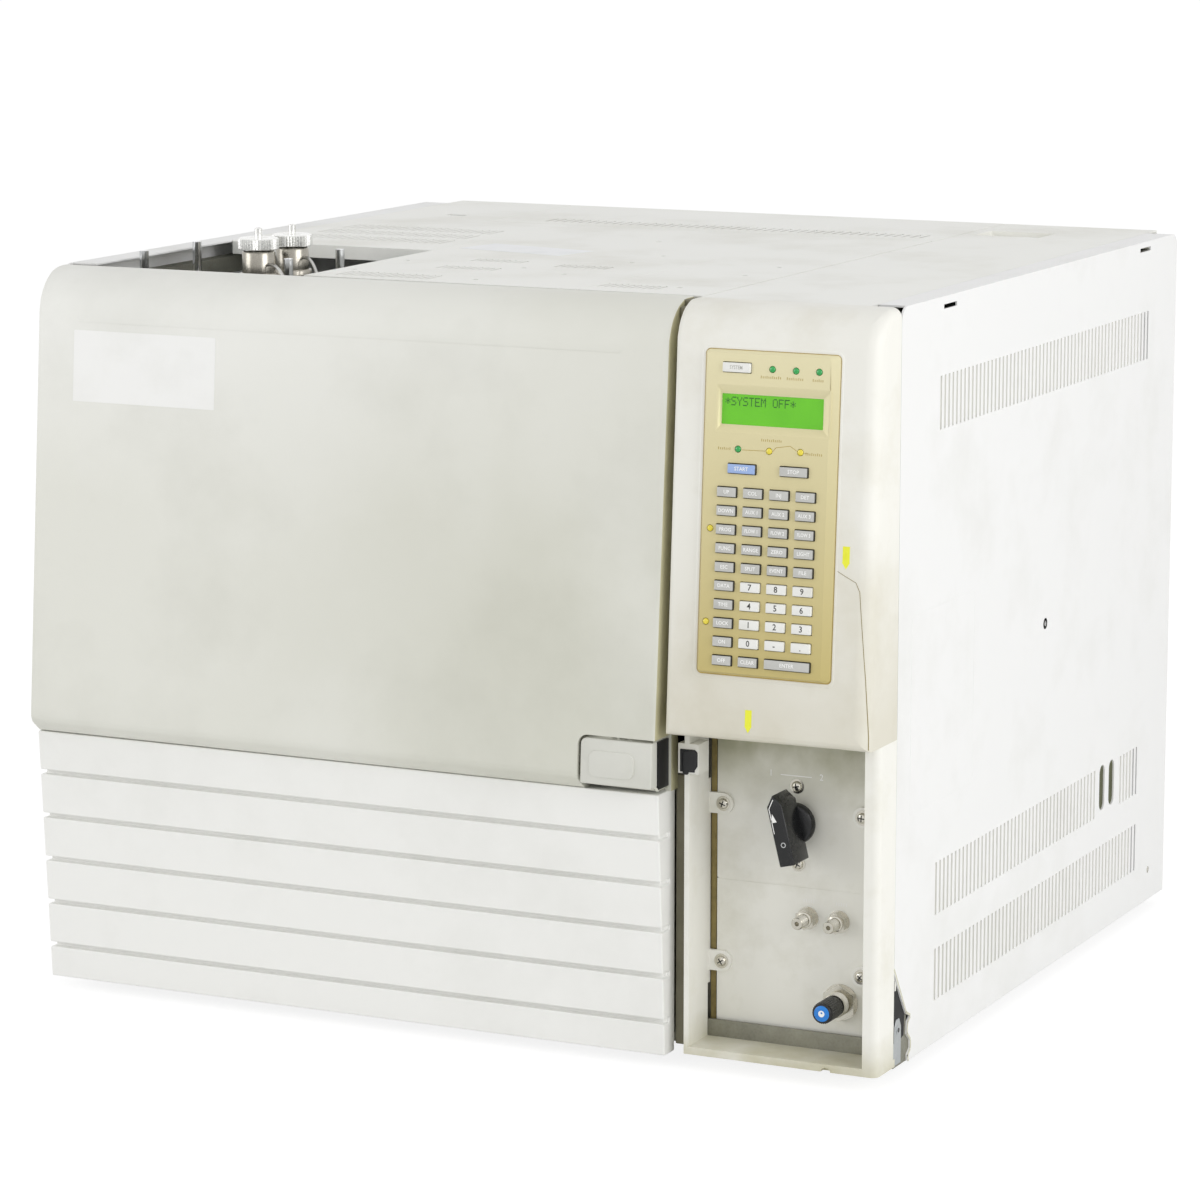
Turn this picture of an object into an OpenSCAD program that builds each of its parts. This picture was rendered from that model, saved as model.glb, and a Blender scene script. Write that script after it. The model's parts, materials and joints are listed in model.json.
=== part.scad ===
// Bench gas chromatograph: oven with its door, keypad column, valve bay, injector well.
// +Z up, the front faces -Y, origin at the bottom centre, millimetres.

/* [Body] */
// Width across the two side panels
body_w = 540; // [530:5:570]
// Height of the top covers above the bench, feet included
body_h = 440; // [436:2:460]
// Depth of the side panels
side_d = 472; // [468:4:500]
// Thickness of the folded sheet metal
sheet_t = 1.2; // [1:0.1:1.4]
// Thickness of the moulded covers
wall_t = 3; // [2.5:0.25:3.25]
// Spacing of the upright vent slots
slot_pitch = 6.15; // [5.9:0.05:6.4]
// Width of one vent slot
slot_w = 2.6; // [2:0.1:3]

/* [Door] */
// Width of the oven door
door_w = 411.5; // [408:0.5:413]
// Radius of the top front edge of the door
door_r = 28; // [24:1:30]
// Height of one groove of the lower cover
groove_h = 3; // [2:0.5:4]
// Depth of one groove
groove_in = 4; // [3:0.5:5]
// Spacing of the grooves
groove_pitch = 27.15; // [25:0.25:28]
// Radius of the door hinge pins
hinge_r = 1.5; // [1.2:0.1:1.6]

/* [Controls] */
// How far a key stands out of the panel
key_out = 1.5; // [1:0.25:2]
// Width of a small key
key_w = 11.5; // [10:0.25:12]
// Height of a small key
key_h = 5.3; // [4.5:0.1:5.6]
// Length of the selector knob's bar
knob_len = 43; // [38:1:46]
// Diameter of the needle-valve knob
flow_d = 12.6; // [11:0.2:14]

/* [Oven] */
// Radius of the oven fan
fan_r = 80; // [70:5:90]
// Radius of the column's coils
coil_r = 85; // [75:5:90]
// Diameter of the septum caps
cap_d = 25; // [22:0.5:26]

/* [Hidden] */
$fn = 48;
t = sheet_t;
w = wall_t;
hx = body_w / 2;
ex = hx - 270;
top = body_h;
ez = body_h - 440;
front = -217;
back = front + side_d;
ey = back - 255;
foot_h = 8;
floor_z = foot_h + 1.5;
dl = -hx;
dr = dl + door_w;
col = dr + 8;
div_x = dr + 2;
hinge_x = dl + 6;
hinge_y = -226;
run = 0.05;
// oven: casing, liner, and the fan line
cas_l = dl + 20;
cas_r = dr - 16.5;
cas_b = 15;
cas_z0 = 24;
cas_z1 = top - 40;
lin_l = cas_l + 29;
lin_r = cas_r - 34;
lin_b = -19;
lin_z0 = 69;
lin_z1 = cas_z1 - 31;
fan_x = (lin_l + lin_r) / 2;
fan_z = (lin_z0 + lin_z1) / 2;
flap_z = cas_z1 - 44;
flap_y = 28;
// leaning front of the keypad column
lean_m = 0.0636;
lean_a = atan(lean_m);
lean_y = -262.3;
lean_z = 198.5;
// door front
door_m = 0.0793;
door_y = -266.2;
door_z = 171;
seam_z = 162;
low_m = 0.0627;
low_y = -255.9;
door_back = -233;
end_r = w + 1;
// injectors, in the open well
inj = [[-186 - ex, -129], [-179 - ex, -100]];
studs = [[-236 - ex, -180], [-236 - ex, -118], [-134 - ex, -184], [-134 - ex, -121]];
well_r = -109 - ex;
well_b = -48;
// controls, measured from the right side panel
rail_x = hx - 18;
knob_x = 208 + ex;
knob_z = 142.5;
flow_x = 235.5 + ex;
flow_z = 42.5;
outs = [[214.8 + ex, 89.3], [234 + ex, 89.1]];
tabs = [[163 + ex, 151], [162.2 + ex, 58.6], [248.4 + ex, 151], [248.4 + ex, 59]];
bay_y = -242;
vp_y = -212;
pad_l = 167.4 + ex;
pad_r = 247.5 + ex;
pad_z0 = 37.5;
pad_z1 = 217.6;
key_x0 = 183.3 + ex;
key_dx = 15.7;
key_z0 = 139.3;
key_dz = 10.41;
lamps = [[208.1, 208.2], [222.1, 208.1], [235.9, 208.2], [188.9, 163.3], [207.6, 163.2],
  [226.2, 163.7], [173.6, 118.6], [172.7, 66.6]];
fan2_x = 205 + ex;
fan2_z = top - 110;
// what stands over the oven keeps to the door's right edge
ox = dr - 141.5;
// the pan's folded wall
pan_w = 1.5;
pan_h = 16;

// box between two corners
module bx(a, b) {
  translate(a)
    cube(b - a);
}
module rod_x(x0, x1, y, z, r) {
  translate([x0, y, z])
    rotate([0, 90, 0])
      cylinder(h = x1 - x0, r = r);
}
module rod_y(y0, y1, x, z, r) {
  translate([x, y1, z])
    rotate([90, 0, 0])
      cylinder(h = y1 - y0, r = r);
}
module rod_z(z0, z1, x, y, r) {
  translate([x, y, z0])
    cylinder(h = z1 - z0, r = r);
}
module hex_y(y0, y1, x, z, af) {
  translate([x, y1, z])
    rotate([90, 0, 0])
      cylinder(h = y1 - y0, r = af / 2 / cos(30), $fn = 6);
}
// flat shapes drawn in (y, z), (x, z) or (x, y) and given a length
module yz(x0, x1) {
  translate([x0, 0, 0])
    rotate([90, 0, 90])
      linear_extrude(height = x1 - x0)
        children();
}
module xz(y0, y1) {
  translate([0, y1, 0])
    rotate([90, 0, 0])
      linear_extrude(height = y1 - y0)
        children();
}
module xy(z0, z1) {
  translate([0, 0, z0])
    linear_extrude(height = z1 - z0)
      children();
}
module rect(x0, y0, x1, y1) {
  translate([x0, y0])
    square([x1 - x0, y1 - y0]);
}
// rectangle with its two upper corners rounded
module arch(x0, y0, x1, y1, r) {
  rect(x0, y0, x1, y1 - r);
  rect(x0 + r, y0, x1 - r, y1);
  translate([x0 + r, y1 - r])
    circle(r = r);
  translate([x1 - r, y1 - r])
    circle(r = r);
}
module slots(n, x0, y0, y1) {
  for (i = [0 : n - 1])
    rect(x0 + i * slot_pitch, y0, x0 + i * slot_pitch + slot_w, y1);
}
// side view of a leaning front with a rounded top edge
module front_shape(y0, z0, m, zt, r, yb, ins) {
  s = sqrt(1 + m * m);
  cz = zt - r;
  cy = y0 + (cz - z0) * m + r * s;
  q = r - ins;
  tz = zt - ins;
  difference() {
    polygon([[y0 + ins * s, z0], [y0 + ins * s + (tz - z0) * m, tz], [yb, tz], [yb, z0]]);
    difference() {
      polygon([[cy, cz], [cy - (q + 3) / s, cz + (q + 3) * m / s], [cy - q - 6, tz + 3],
        [cy, tz + 3]]);
      translate([cy, cz])
        circle(r = q);
    }
  }
}
// frame of the keypad column's leaning face: x across, z up the face, -y outward
module on_face() {
  translate([0, lean_y, lean_z])
    rotate([-lean_a, 0, 0])
      children();
}
module hollow(a, b, th) {
  difference() {
    bx(a, b);
    bx(a + [th, th, th], b - [th, th, th]);
  }
}

module pan_inside() {
  bx([-hx + t + pan_w, -215 + pan_w, floor_z], [hx - t - pan_w, back - t - pan_w,
    foot_h + pan_h + 1]);
}

module base_pan() {
  color([0.62, 0.64, 0.66])
    difference() {
      bx([-hx + t, -215, foot_h], [hx - t, back - t, foot_h + pan_h]);
      pan_inside();
      bx([-hx, -216, 20], [hinge_x + 8, -213, 26]);
    }
}

module rubber_feet() {
  color([0.08, 0.08, 0.08])
    for (x = [-hx + 45, hx - 45], y = [-150, back - 55])
      translate([x, y, 0])
        cylinder(h = foot_h, r1 = 13, r2 = 15);
}

module side_outline() {
  difference() {
    rect(front, foot_h, back, top);
    translate([front, top - 8])
      difference() {
        rect(-1, 0, 8, 9);
        translate([8, 0])
          circle(r = 8);
      }
    translate([back - 8, top - 8])
      difference() {
        rect(0, 0, 9, 9);
        circle(r = 8);
      }
  }
}

module left_side_panel() {
  color([0.93, 0.93, 0.9])
    union() {
      yz(-hx, -hx + t)
        difference() {
          side_outline();
          slots(59, -158, top - 75, top - 44.5);
          slots(58, -156, 33.5, 64);
        }
      bx([-hx + t, front + 9, top - t], [-rail_x - 0.4, back - 9, top]);
    }
}

module right_side_panel() {
  color([0.93, 0.93, 0.9])
    union() {
      yz(hx - t, hx)
        difference() {
          side_outline();
          slots(59, -158, top - 75, top - 44.5);
          slots(45, -156, 84, 115);
          slots(6, 164, 84, 115);
          slots(58, -156, 33.5, 64);
          rect(125.2, 87, 135.2, 116);
          rect(142.9, 87, 152.9, 116);
          rect(-154, top - 7.2, -134, top - 4.7);
          rect(183, top - 6.2, 203, top - 3.7);
          translate([back - 31.1, 28.1])
            circle(r = 2.2);
          translate([20.6, 224.7])
            circle(r = 1.5);
          polygon([[-220, 65.6], [-218.1, 65.6], [-198.9, 36.7], [-192.5, 33.6], [-196.4, 31.4],
            [-197.3, 24.2], [-192.1, 19.4], [-192, 14.5], [-196.3, 11.5], [-195, 7], [-220, 7]]);
        }
      bx([rail_x + 0.4, front + 9, top - t], [hx - t, back - 9, top]);
    }
}

module rear_panel() {
  color([0.8, 0.8, 0.78])
    xz(back - t, back)
      difference() {
        rect(-hx + t, foot_h + 16, hx - t, top - 14);
        slots(24, -210, cas_z1 - 100, cas_z1 - 40);
        slots(12, 10, cas_z1 - 100, cas_z1 - 40);
        translate([fan2_x, fan2_z])
          circle(r = 36);
        rect(178 + ex, 30, 206 + ex, 52);
        rect(216 + ex, 30, 232 + ex, 52);
        for (x = [50 + ox, 80 + ox, 110 + ox])
          translate([x, 60])
            circle(r = 5.2);
      }
}

module chassis_frame() {
  color([0.7, 0.71, 0.72])
    difference() {
      union() {
        // corner posts and rails
        bx([-hx + t, front + 2, floor_z], [-hx + 14, -203, top - 10]);
        bx([hx - 12, vp_y + t, floor_z], [hx - t, -196, top - 10]);
        bx([-hx + 8, -203, top - 20], [-hx + 18, back - 14, top - 10]);
        bx([hx - 16, -196, top - 20], [hx - 6, back - 14, top - 10]);
        bx([-hx + t, back - 14, floor_z], [-hx + 14, back - t, top - 10]);
        bx([hx - 16, back - 14, floor_z], [hx - t, back - t, top - 10]);
        bx([-hx + 14, back - 10, top - 20], [div_x, back - t, top - 10]);
        bx([div_x + 1.5, back - 10, top - 20], [hx - 16, back - t, top - 10]);
        bx([-hx + 14, -212, top - 20], [div_x, -206, top - 10]);
        // wall between the oven and the electronics, with the valve panel's flange
        bx([div_x, -212, floor_z], [div_x + 1.5, back - t, top - 10]);
        bx([div_x + 1.5, vp_y + t, 18], [160 + ex, vp_y + 2 * t, 196]);
        // arms that carry the hinge pins
        for (z = [30, top - 33])
          difference() {
            bx([hinge_x - 3.2, hinge_y - 3.2, z], [hinge_x + 5, front + 2, z + 3]);
            rod_z(z - 1, z + 4, hinge_x, hinge_y, hinge_r);
          }
        // two bearers under the oven, and the ledge of the top covers
        bx([-hx + 14, -150, floor_z], [div_x, -138, cas_z0]);
        bx([-hx + 14, -40, floor_z], [div_x, -28, cas_z0]);
        bx([div_x + 1.5, -196, top - 11.2], [div_x + 12, back - 10, top - 10]);
        bx([well_r + 3, -206, top - 11.2], [well_r + 12, back - 10, top - 10]);
      }
      // the posts stand inside the pan's folded walls
      difference() {
        bx([-hx, -216, 0], [hx, back, foot_h + pan_h]);
        pan_inside();
      }
    }
}

module hinge_pins() {
  color([0.75, 0.75, 0.77])
    union() {
      rod_z(28, 40, hinge_x, hinge_y, hinge_r);
      rod_z(top - 41, top - 28, hinge_x, hinge_y, hinge_r);
    }
}

// folded edge depth of the top covers
fold = 8.5;

module centre_cover() {
  color([0.91, 0.9, 0.86])
    union() {
      xy(top - t, top)
        difference() {
          rect(well_r + 0.4, -211, col - 2, 136.6 + ey);
          rect(69.3 + ox, -212, col, -21.7);
          for (i = [0 : 14])
            rect(-94 + i * 4.2, -200, -92 + i * 4.2, -178);
          for (i = [0 : 9])
            rect(-59 + i * 4, -141, -57 + i * 4, -126);
          for (i = [0 : 8])
            rect(-59 + i * 4, -96, -57 + i * 4, -82);
          for (i = [0 : 8])
            rect(2 + i * 4, -106, 4 + i * 4, -91);
          for (p = [[-94, -110], [-98, -169], [-7, -189], [-11, -119], [26, -140], [34, -64],
            [34, -19], [-5.5, 60]])
            translate(p)
              circle(r = 2);
        }
      bx([well_r + 0.4, -211, top - fold], [well_r + 0.4 + t, 136.6 + ey, top - t]);
      bx([well_r + 0.4 + t, -211, top - fold], [69 + ox, -211 + t, top - t]);
    }
}

module detector_cover() {
  color([0.92, 0.91, 0.87])
    xy(top - t, top)
      difference() {
        rect(69.7 + ox, -211, col - 2, -22.1);
        for (i = [0 : 9])
          rect(72 + ox + i * 4, -192, 74 + ox + i * 4, -175);
        for (p = [[118, -178], [124, -100], [124, -50]])
          translate([p[0] + ox, p[1]])
            circle(r = 2);
      }
}

module rear_left_cover() {
  color([0.91, 0.9, 0.86])
    union() {
      xy(top - t, top)
        difference() {
          polygon([[-rail_x, well_b], [well_r, well_b], [well_r, 137 + ey], [-168, 137 + ey],
            [-168, 268 + ey], [-rail_x, 268 + ey]]);
          for (r = [0 : 2])
            for (i = [0 : 21])
              rect(-232 - ex + i * 5, -10 + r * 34, -229.6 - ex + i * 5, 14 + r * 34);
          rect(-212, 165, -198, 172);
        }
      bx([-rail_x, well_b, top - fold], [well_r, well_b + t, top - t]);
      bx([-rail_x, 268 + ey - t, top - 14], [-168, 268 + ey, top - t]);
    }
}

module rear_centre_cover() {
  color([0.91, 0.9, 0.86])
    union() {
      xy(top - t, top)
        difference() {
          rect(-167.2, 137.8 + ey, col - 2, 268 + ey);
          for (i = [0 : 44])
            rect(-133 + i * 6, 154 + ey, -130.4 + i * 6, 174 + ey);
        }
      bx([-167.2, 268 + ey - t, top - 14], [col - 2, 268 + ey, top - t]);
    }
}

module right_top_cover() {
  color([0.91, 0.9, 0.86])
    union() {
      xy(top - t, top)
        difference() {
          rect(col - 1.2, -216.8, rail_x, 268 + ey);
          rect(157 + ex, 188, 201 + ex, 219);
        }
      bx([col - 1.2, 268 + ey - t, top - 14], [rail_x, 268 + ey, top - t]);
      bx([col - 1.2, -216.8, top - fold], [rail_x, -216.8 + t, top - t]);
      // pocket under the opening
      difference() {
        bx([156 + ex, 187, top - 9], [202 + ex, 220, top - t]);
        bx([157 + ex, 188, top - 8], [201 + ex, 219, top]);
      }
    }
}

module oven_ports(r) {
  for (p = inj)
    rod_z(lin_z1 - 10, cas_z1 + 5, p[0], p[1], r);
  for (y = [-150, -90])
    rod_z(lin_z1 - 10, cas_z1 + 5, 76 + ox, y, r);
  rod_y(lin_b - 10, cas_b + 10, fan_x, fan_z, 9);
  for (x = [lin_l + 25, lin_r - 85])
    bx([x, lin_b - 10, flap_z - 52], [x + 60, cas_b + 10, flap_z - 6]);
}

module oven_casing() {
  color([0.74, 0.75, 0.76])
    difference() {
      bx([cas_l, -213, cas_z0], [cas_r, cas_b, cas_z1]);
      bx([cas_l + t, -211.8, cas_z0 + t], [cas_r - t, cas_b - t, cas_z1 - t]);
      bx([lin_l, -214, lin_z0], [lin_r, -211, lin_z1]);
      oven_ports(8.5);
    }
}

module oven_insulation() {
  color([0.93, 0.9, 0.8])
    difference() {
      bx([cas_l + t, -211.8, cas_z0 + t], [cas_r - t, cas_b - t, cas_z1 - t]);
      bx([lin_l, -212, lin_z0], [lin_r, lin_b, lin_z1]);
      oven_ports(8.5);
    }
}

module oven_liner() {
  color([0.66, 0.66, 0.65])
    difference() {
      bx([lin_l, -213, lin_z0], [lin_r, lin_b, lin_z1]);
      bx([lin_l + 1, -214, lin_z0 + 1], [lin_r - 1, lin_b - 1, lin_z1 - 1]);
      oven_ports(8.5);
    }
}

module fan_motor() {
  color([0.25, 0.26, 0.28])
    difference() {
      union() {
        rod_y(cas_b, cas_b + 4, fan_x, fan_z, 48);
        rod_y(cas_b + 4, cas_b + 62, fan_x, fan_z, 36);
        rod_y(lin_b - 1, cas_b, fan_x, fan_z, 8);
      }
      rod_y(lin_b - 2, cas_b + 40, fan_x, fan_z, 4 + run);
    }
}

module fan_wheel() {
  color([0.72, 0.72, 0.72])
    union() {
      rod_y(-60, cas_b + 38, fan_x, fan_z, 4);
      rod_y(-60, -36, fan_x, fan_z, 13);
      rod_y(-38, -36.5, fan_x, fan_z, fan_r);
      for (i = [0 : 11])
        translate([fan_x, 0, fan_z])
          rotate([0, i * 30, 0])
            bx([fan_r - 36, -60, -0.7], [fan_r - 1, -37.5, 0.7]);
    }
}

module fan_baffle() {
  color([0.68, 0.68, 0.67])
    union() {
      xz(-72, -71)
        difference() {
          rect(lin_l + 8, lin_z0 + 8, lin_r - 8, lin_z1 - 8);
          translate([fan_x, fan_z])
            circle(r = 55);
          for (x = [lin_l + 30, lin_r - 42])
            for (z = [lin_z0 + 60, lin_z0 + 120, lin_z0 + 180])
              rect(x, z, x + 12, z + 40);
        }
      // stand-offs to the rear of the liner, and the column hooks
      for (x = [lin_l + 18, lin_r - 18], z = [lin_z0 + 18, lin_z1 - 18])
        rod_y(-71, lin_b - 1, x, z, 3);
      for (a = [60, 120, 240, 300])
        rod_y(-142, -72, fan_x + 62 * cos(a), fan_z + 62 * sin(a), 1.6);
    }
}

module heater_coil() {
  color([0.5, 0.46, 0.42])
    union() {
      for (y = [-62, -50, -38])
        translate([fan_x, y, fan_z])
          rotate([90, 0, 0])
            rotate_extrude()
              translate([fan_r + 16, 0])
                circle(r = 1.4, $fn = 16);
      for (a = [45, 135, 225, 315])
        translate([fan_x, 0, fan_z])
          rotate([0, a, 0])
            bx([fan_r + 14, -64, -3], [fan_r + 18, lin_b - 1, 3]);
    }
}

// sideways reach of the coil 31 mm above its centre
side_x = sqrt(coil_r * coil_r - 961);

module capillary_column() {
  color([0.55, 0.33, 0.12])
    union() {
      // bundle of turns
      translate([fan_x, -112, fan_z])
        rotate([90, 0, 0])
          rotate_extrude()
            translate([coil_r, 0])
              circle(r = 4.5, $fn = 20);
      // wire cage
      for (y = [-127, -97])
        translate([fan_x, y, fan_z])
          rotate([90, 0, 0])
            rotate_extrude()
              translate([coil_r + 7, 0])
                circle(r = 1, $fn = 12);
      for (a = [0 : 60 : 300])
        translate([fan_x, 0, fan_z])
          rotate([0, a, 0])
            bx([coil_r + 4, -128, -1], [coil_r + 8, -96, 1]);
      for (a = [60, 120, 240, 300])
        translate([fan_x, 0, fan_z])
          rotate([0, -a, 0])
            bx([64, -113, -1], [coil_r, -111, 1]);
      // hanging rings on the hooks
      for (a = [60, 120, 240, 300])
        difference() {
          rod_y(-114, -110, fan_x + 62 * cos(a), fan_z + 62 * sin(a), 4);
          rod_y(-115, -109, fan_x + 62 * cos(a), fan_z + 62 * sin(a), 1.9);
        }
      // the two ends, up to an injector and to a detector
      rod_z(fan_z + 30.5, cas_z1 - 75, inj[0][0], inj[0][1], 0.6);
      rod_x(inj[0][0], fan_x - side_x, inj[0][1], fan_z + 31, 0.6);
      rod_y(inj[0][1] - 0.5, -112, fan_x - side_x, fan_z + 31, 0.6);
      rod_z(fan_z + 30.5, cas_z1 - 50, 76 + ox, -90, 0.6);
      rod_x(fan_x + side_x, 76 + ox, -90, fan_z + 31, 0.6);
      rod_y(-112, -89.5, fan_x + side_x, fan_z + 31, 0.6);
    }
}

module oven_vent_flaps() {
  color([0.6, 0.61, 0.62])
    union() {
      rod_x(lin_l + 9, cas_r - 42, flap_y, flap_z, 2);
      for (x = [lin_l + 22, lin_r - 88])
        union() {
          bx([x, cas_b + 0.8, flap_z - 58], [x + 66, cas_b + 2, flap_z - 4]);
          bx([x + 4, cas_b + 1, flap_z - 10], [x + 6, flap_y, flap_z + 1]);
          bx([x + 60, cas_b + 1, flap_z - 10], [x + 62, flap_y, flap_z + 1]);
        }
    }
}

module flap_motor() {
  color([0.3, 0.31, 0.33])
    difference() {
      union() {
        bx([cas_r - 50, cas_b, flap_z - 14], [cas_r - 46, flap_y + 11, flap_z + 14]);
        rod_x(cas_r - 46, cas_r - 22, flap_y, flap_z, 11);
        bx([lin_l + 8, cas_b, flap_z - 5], [lin_l + 12, flap_y + 5, flap_z + 5]);
        bx([cas_r - 50, cas_b, flap_z - 14], [cas_r - 30, cas_b + 2, flap_z + 14]);
      }
      rod_x(lin_l, cas_r - 41, flap_y, flap_z, 2 + run);
    }
}

module injector_bodies() {
  color([0.78, 0.78, 0.76])
    difference() {
      union() {
        for (p = inj) {
          rod_z(cas_z1 - 75, top - 4, p[0], p[1], 7.85);
          rod_z(top - 4, top, p[0], p[1], 10);
          rod_z(top, top + 8, p[0], p[1], 6.2);
        }
        bx([inj[0][0] - 22, inj[0][1] - 24, cas_z1], [inj[1][0] + 20, inj[1][1] + 24, cas_z1 + 22]);
        // carrier lines: across, then down into the heater block's side plate
        for (p = inj) {
          rod_x(p[0] + 7, p[0] + 34, p[1], top - 13, 1);
          translate([p[0] + 34, p[1], top - 13])
            sphere(r = 1, $fn = 24);
          rod_z(cas_z1 + 2, top - 13, p[0] + 34, p[1], 1);
        }
        bx([inj[0][0] - 22, inj[0][1] - 24, cas_z1], [inj[1][0] + 38, inj[1][1] + 24, cas_z1 + 2.5]);
      }
      for (p = inj)
        rod_z(cas_z1 - 76, top + 9, p[0], p[1], 1.2);
    }
}

module septum_cap(p) {
  difference() {
    union() {
      rod_z(top + 3, top + 12, p[0], p[1], cap_d / 2);
      rod_z(top + 12, top + 17.5, p[0], p[1], 2.15);
    }
    rod_z(top + 2, top + 8.4, p[0], p[1], 6.2 + run);
    rod_z(top + 8, top + 18, p[0], p[1], 0.7);
  }
}

module septum_cap_front() {
  color([0.82, 0.82, 0.8])
    septum_cap(inj[0]);
}

module septum_cap_rear() {
  color([0.82, 0.82, 0.8])
    septum_cap(inj[1]);
}

module lid_studs() {
  color([0.8, 0.8, 0.82])
    for (p = studs)
      union() {
        rod_z(cas_z1, top + 6, p[0], p[1], 2.75);
        translate([p[0], p[1], cas_z1])
          cylinder(h = 5, r = 6, $fn = 6);
      }
}

module detectors() {
  color([0.7, 0.7, 0.68])
    for (y = [-150, -90])
      union() {
        rod_z(cas_z1 - 50, cas_z1, 76 + ox, y, 7.85);
        bx([58 + ox, y - 20, cas_z1], [100 + ox, y + 20, cas_z1 + 14]);
        rod_z(cas_z1 + 14, top - 6, 76 + ox, y, 12);
      }
}

module electronics_fan() {
  color([0.15, 0.15, 0.16])
    union() {
      rod_y(back - 24, back - 10, fan2_x, fan2_z, 16);
      rod_y(back - 10, back - 5.5, fan2_x, fan2_z, 2);
      for (i = [0 : 6])
        translate([fan2_x, back - 17, fan2_z])
          rotate([0, i * 360 / 7, 0])
            rotate([35, 0, 0])
              bx([14, -7, -0.8], [34, 7, 0.8]);
    }
}

module fan_frame() {
  color([0.12, 0.12, 0.13])
    difference() {
      union() {
        difference() {
          bx([fan2_x - 40, back - 26, fan2_z - 40], [fan2_x + 40, back - t, fan2_z + 40]);
          rod_y(back - 27, back, fan2_x, fan2_z, 36);
        }
        rod_y(back - 9, back - 5, fan2_x, fan2_z, 14);
        for (a = [30, 150, 270])
          translate([fan2_x, 0, fan2_z])
            rotate([0, a, 0])
              bx([12, back - 8, -2], [37, back - 5, 2]);
        // guard on the rear panel: flat bars with rings on them
        for (r = [14, 24, 34])
          translate([fan2_x, back + 3, fan2_z])
            rotate([90, 0, 0])
              difference() {
                cylinder(h = 1.8, r = r + 1);
                translate([0, 0, -1])
                  cylinder(h = 4, r = r - 1);
              }
        for (a = [45, 135, 225, 315])
          translate([fan2_x, 0, fan2_z])
            rotate([0, a, 0])
              bx([0, back, -1], [42, back + 1.5, 1]);
      }
      rod_y(back - 12, back - 5.2, fan2_x, fan2_z, 2 + run);
    }
}

module power_supply() {
  color([0.72, 0.73, 0.74])
    union() {
      bx([165 + ex, back - 195, floor_z], [245 + ex, back - 55, 100]);
      for (i = [0 : 11])
        bx([170 + ex + i * 6.2, back - 185, 100], [171.6 + ex + i * 6.2, back - 65, 118]);
    }
}

module main_board() {
  color([0.1, 0.38, 0.2])
    union() {
      bx([div_x + 9.5, -170, 130], [div_x + 11.1, 120, 390]);
      for (y = [-160, 110], z = [140, 380])
        rod_x(div_x + 1.5, div_x + 9.5, y, z, 3);
      bx([div_x + 11.1, -90, 240], [div_x + 15, -50, 280]);
      bx([div_x + 11.1, -30, 240], [div_x + 14, 0, 260]);
      bx([div_x + 11.1, -30, 280], [div_x + 14, 0, 300]);
      bx([div_x + 11.1, -150, 330], [div_x + 22, -60, 338]);
      bx([div_x + 11.1, -20, 370], [div_x + 22, 80, 378]);
      bx([div_x + 11.1, 20, 150], [div_x + 36, 60, 190]);
    }
}

module mains_inlet() {
  color([0.08, 0.08, 0.09])
    union() {
      difference() {
        bx([178 + ex, back - 22, 30], [206 + ex, back + 3, 52]);
        bx([181 + ex, back - 14, 33], [203 + ex, back + 4, 49]);
      }
      for (x = [186, 192, 198])
        bx([x + ex - 1, back - 14, 39], [x + ex + 1, back + 1, 43]);
      // housing of the rocker switch
      difference() {
        bx([216 + ex, back - 20, 30], [232 + ex, back + 1.5, 52]);
        bx([217.5 + ex, back - 16, 31.5], [230.5 + ex, back + 2, 50.5]);
      }
      rod_x(217.5 + ex, 230.5 + ex, back - 7, 41, 1.2);
    }
}

module power_switch() {
  color([0.14, 0.14, 0.15])
    difference() {
      union() {
        yz(218 + ex, 230 + ex)
          polygon([[back - 9, 33], [back - 9, 49], [back + 0.5, 48.5], [back - 1.2, 41],
            [back + 2.5, 34.5], [back - 1, 33]]);
        rod_x(218 + ex, 230 + ex, back - 7, 41, 3.5);
      }
      rod_x(217 + ex, 231 + ex, back - 7, 41, 1.2 + run);
    }
}

module gas_bulkheads() {
  color([0.78, 0.66, 0.36])
    for (x = [50 + ox, 80 + ox, 110 + ox])
      union() {
        rod_y(back - 30, back + 12.5, x, 60, 4.9);
        hex_y(back, back + 4, x, 60, 14);
        hex_y(back - t - 4, back - t, x, 60, 14);
      }
}

module keypad_housing() {
  color([0.92, 0.91, 0.87])
    difference() {
      intersection() {
        yz(col, hx)
          front_shape(lean_y, lean_z, lean_m, top, 24, -217.5, 0);
        xz(-290, -200)
          arch(col - 30, 190, hx, top, 6);
        on_face()
          xy(-10, 280) {
            rect(col - 1, 0, hx - 8, 60);
            rect(hx - 9, 8, hx, 70);
            rect(col - 1, 50, hx, 70);
            translate([hx - 8, 8])
              circle(r = 8);
          }
      }
      intersection() {
        yz(col + w, hx - w)
          front_shape(lean_y + w * lean_m, lean_z + w, lean_m, top, 24, -200, w);
        xz(-290, -200)
          arch(col - 30, 190, hx - w, top - w, 6 - w);
      }
      on_face()
        bx([pad_l + 3, -1, pad_z0 + 3], [pad_r - 3, w + 1, pad_z1 - 3]);
    }
}

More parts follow.
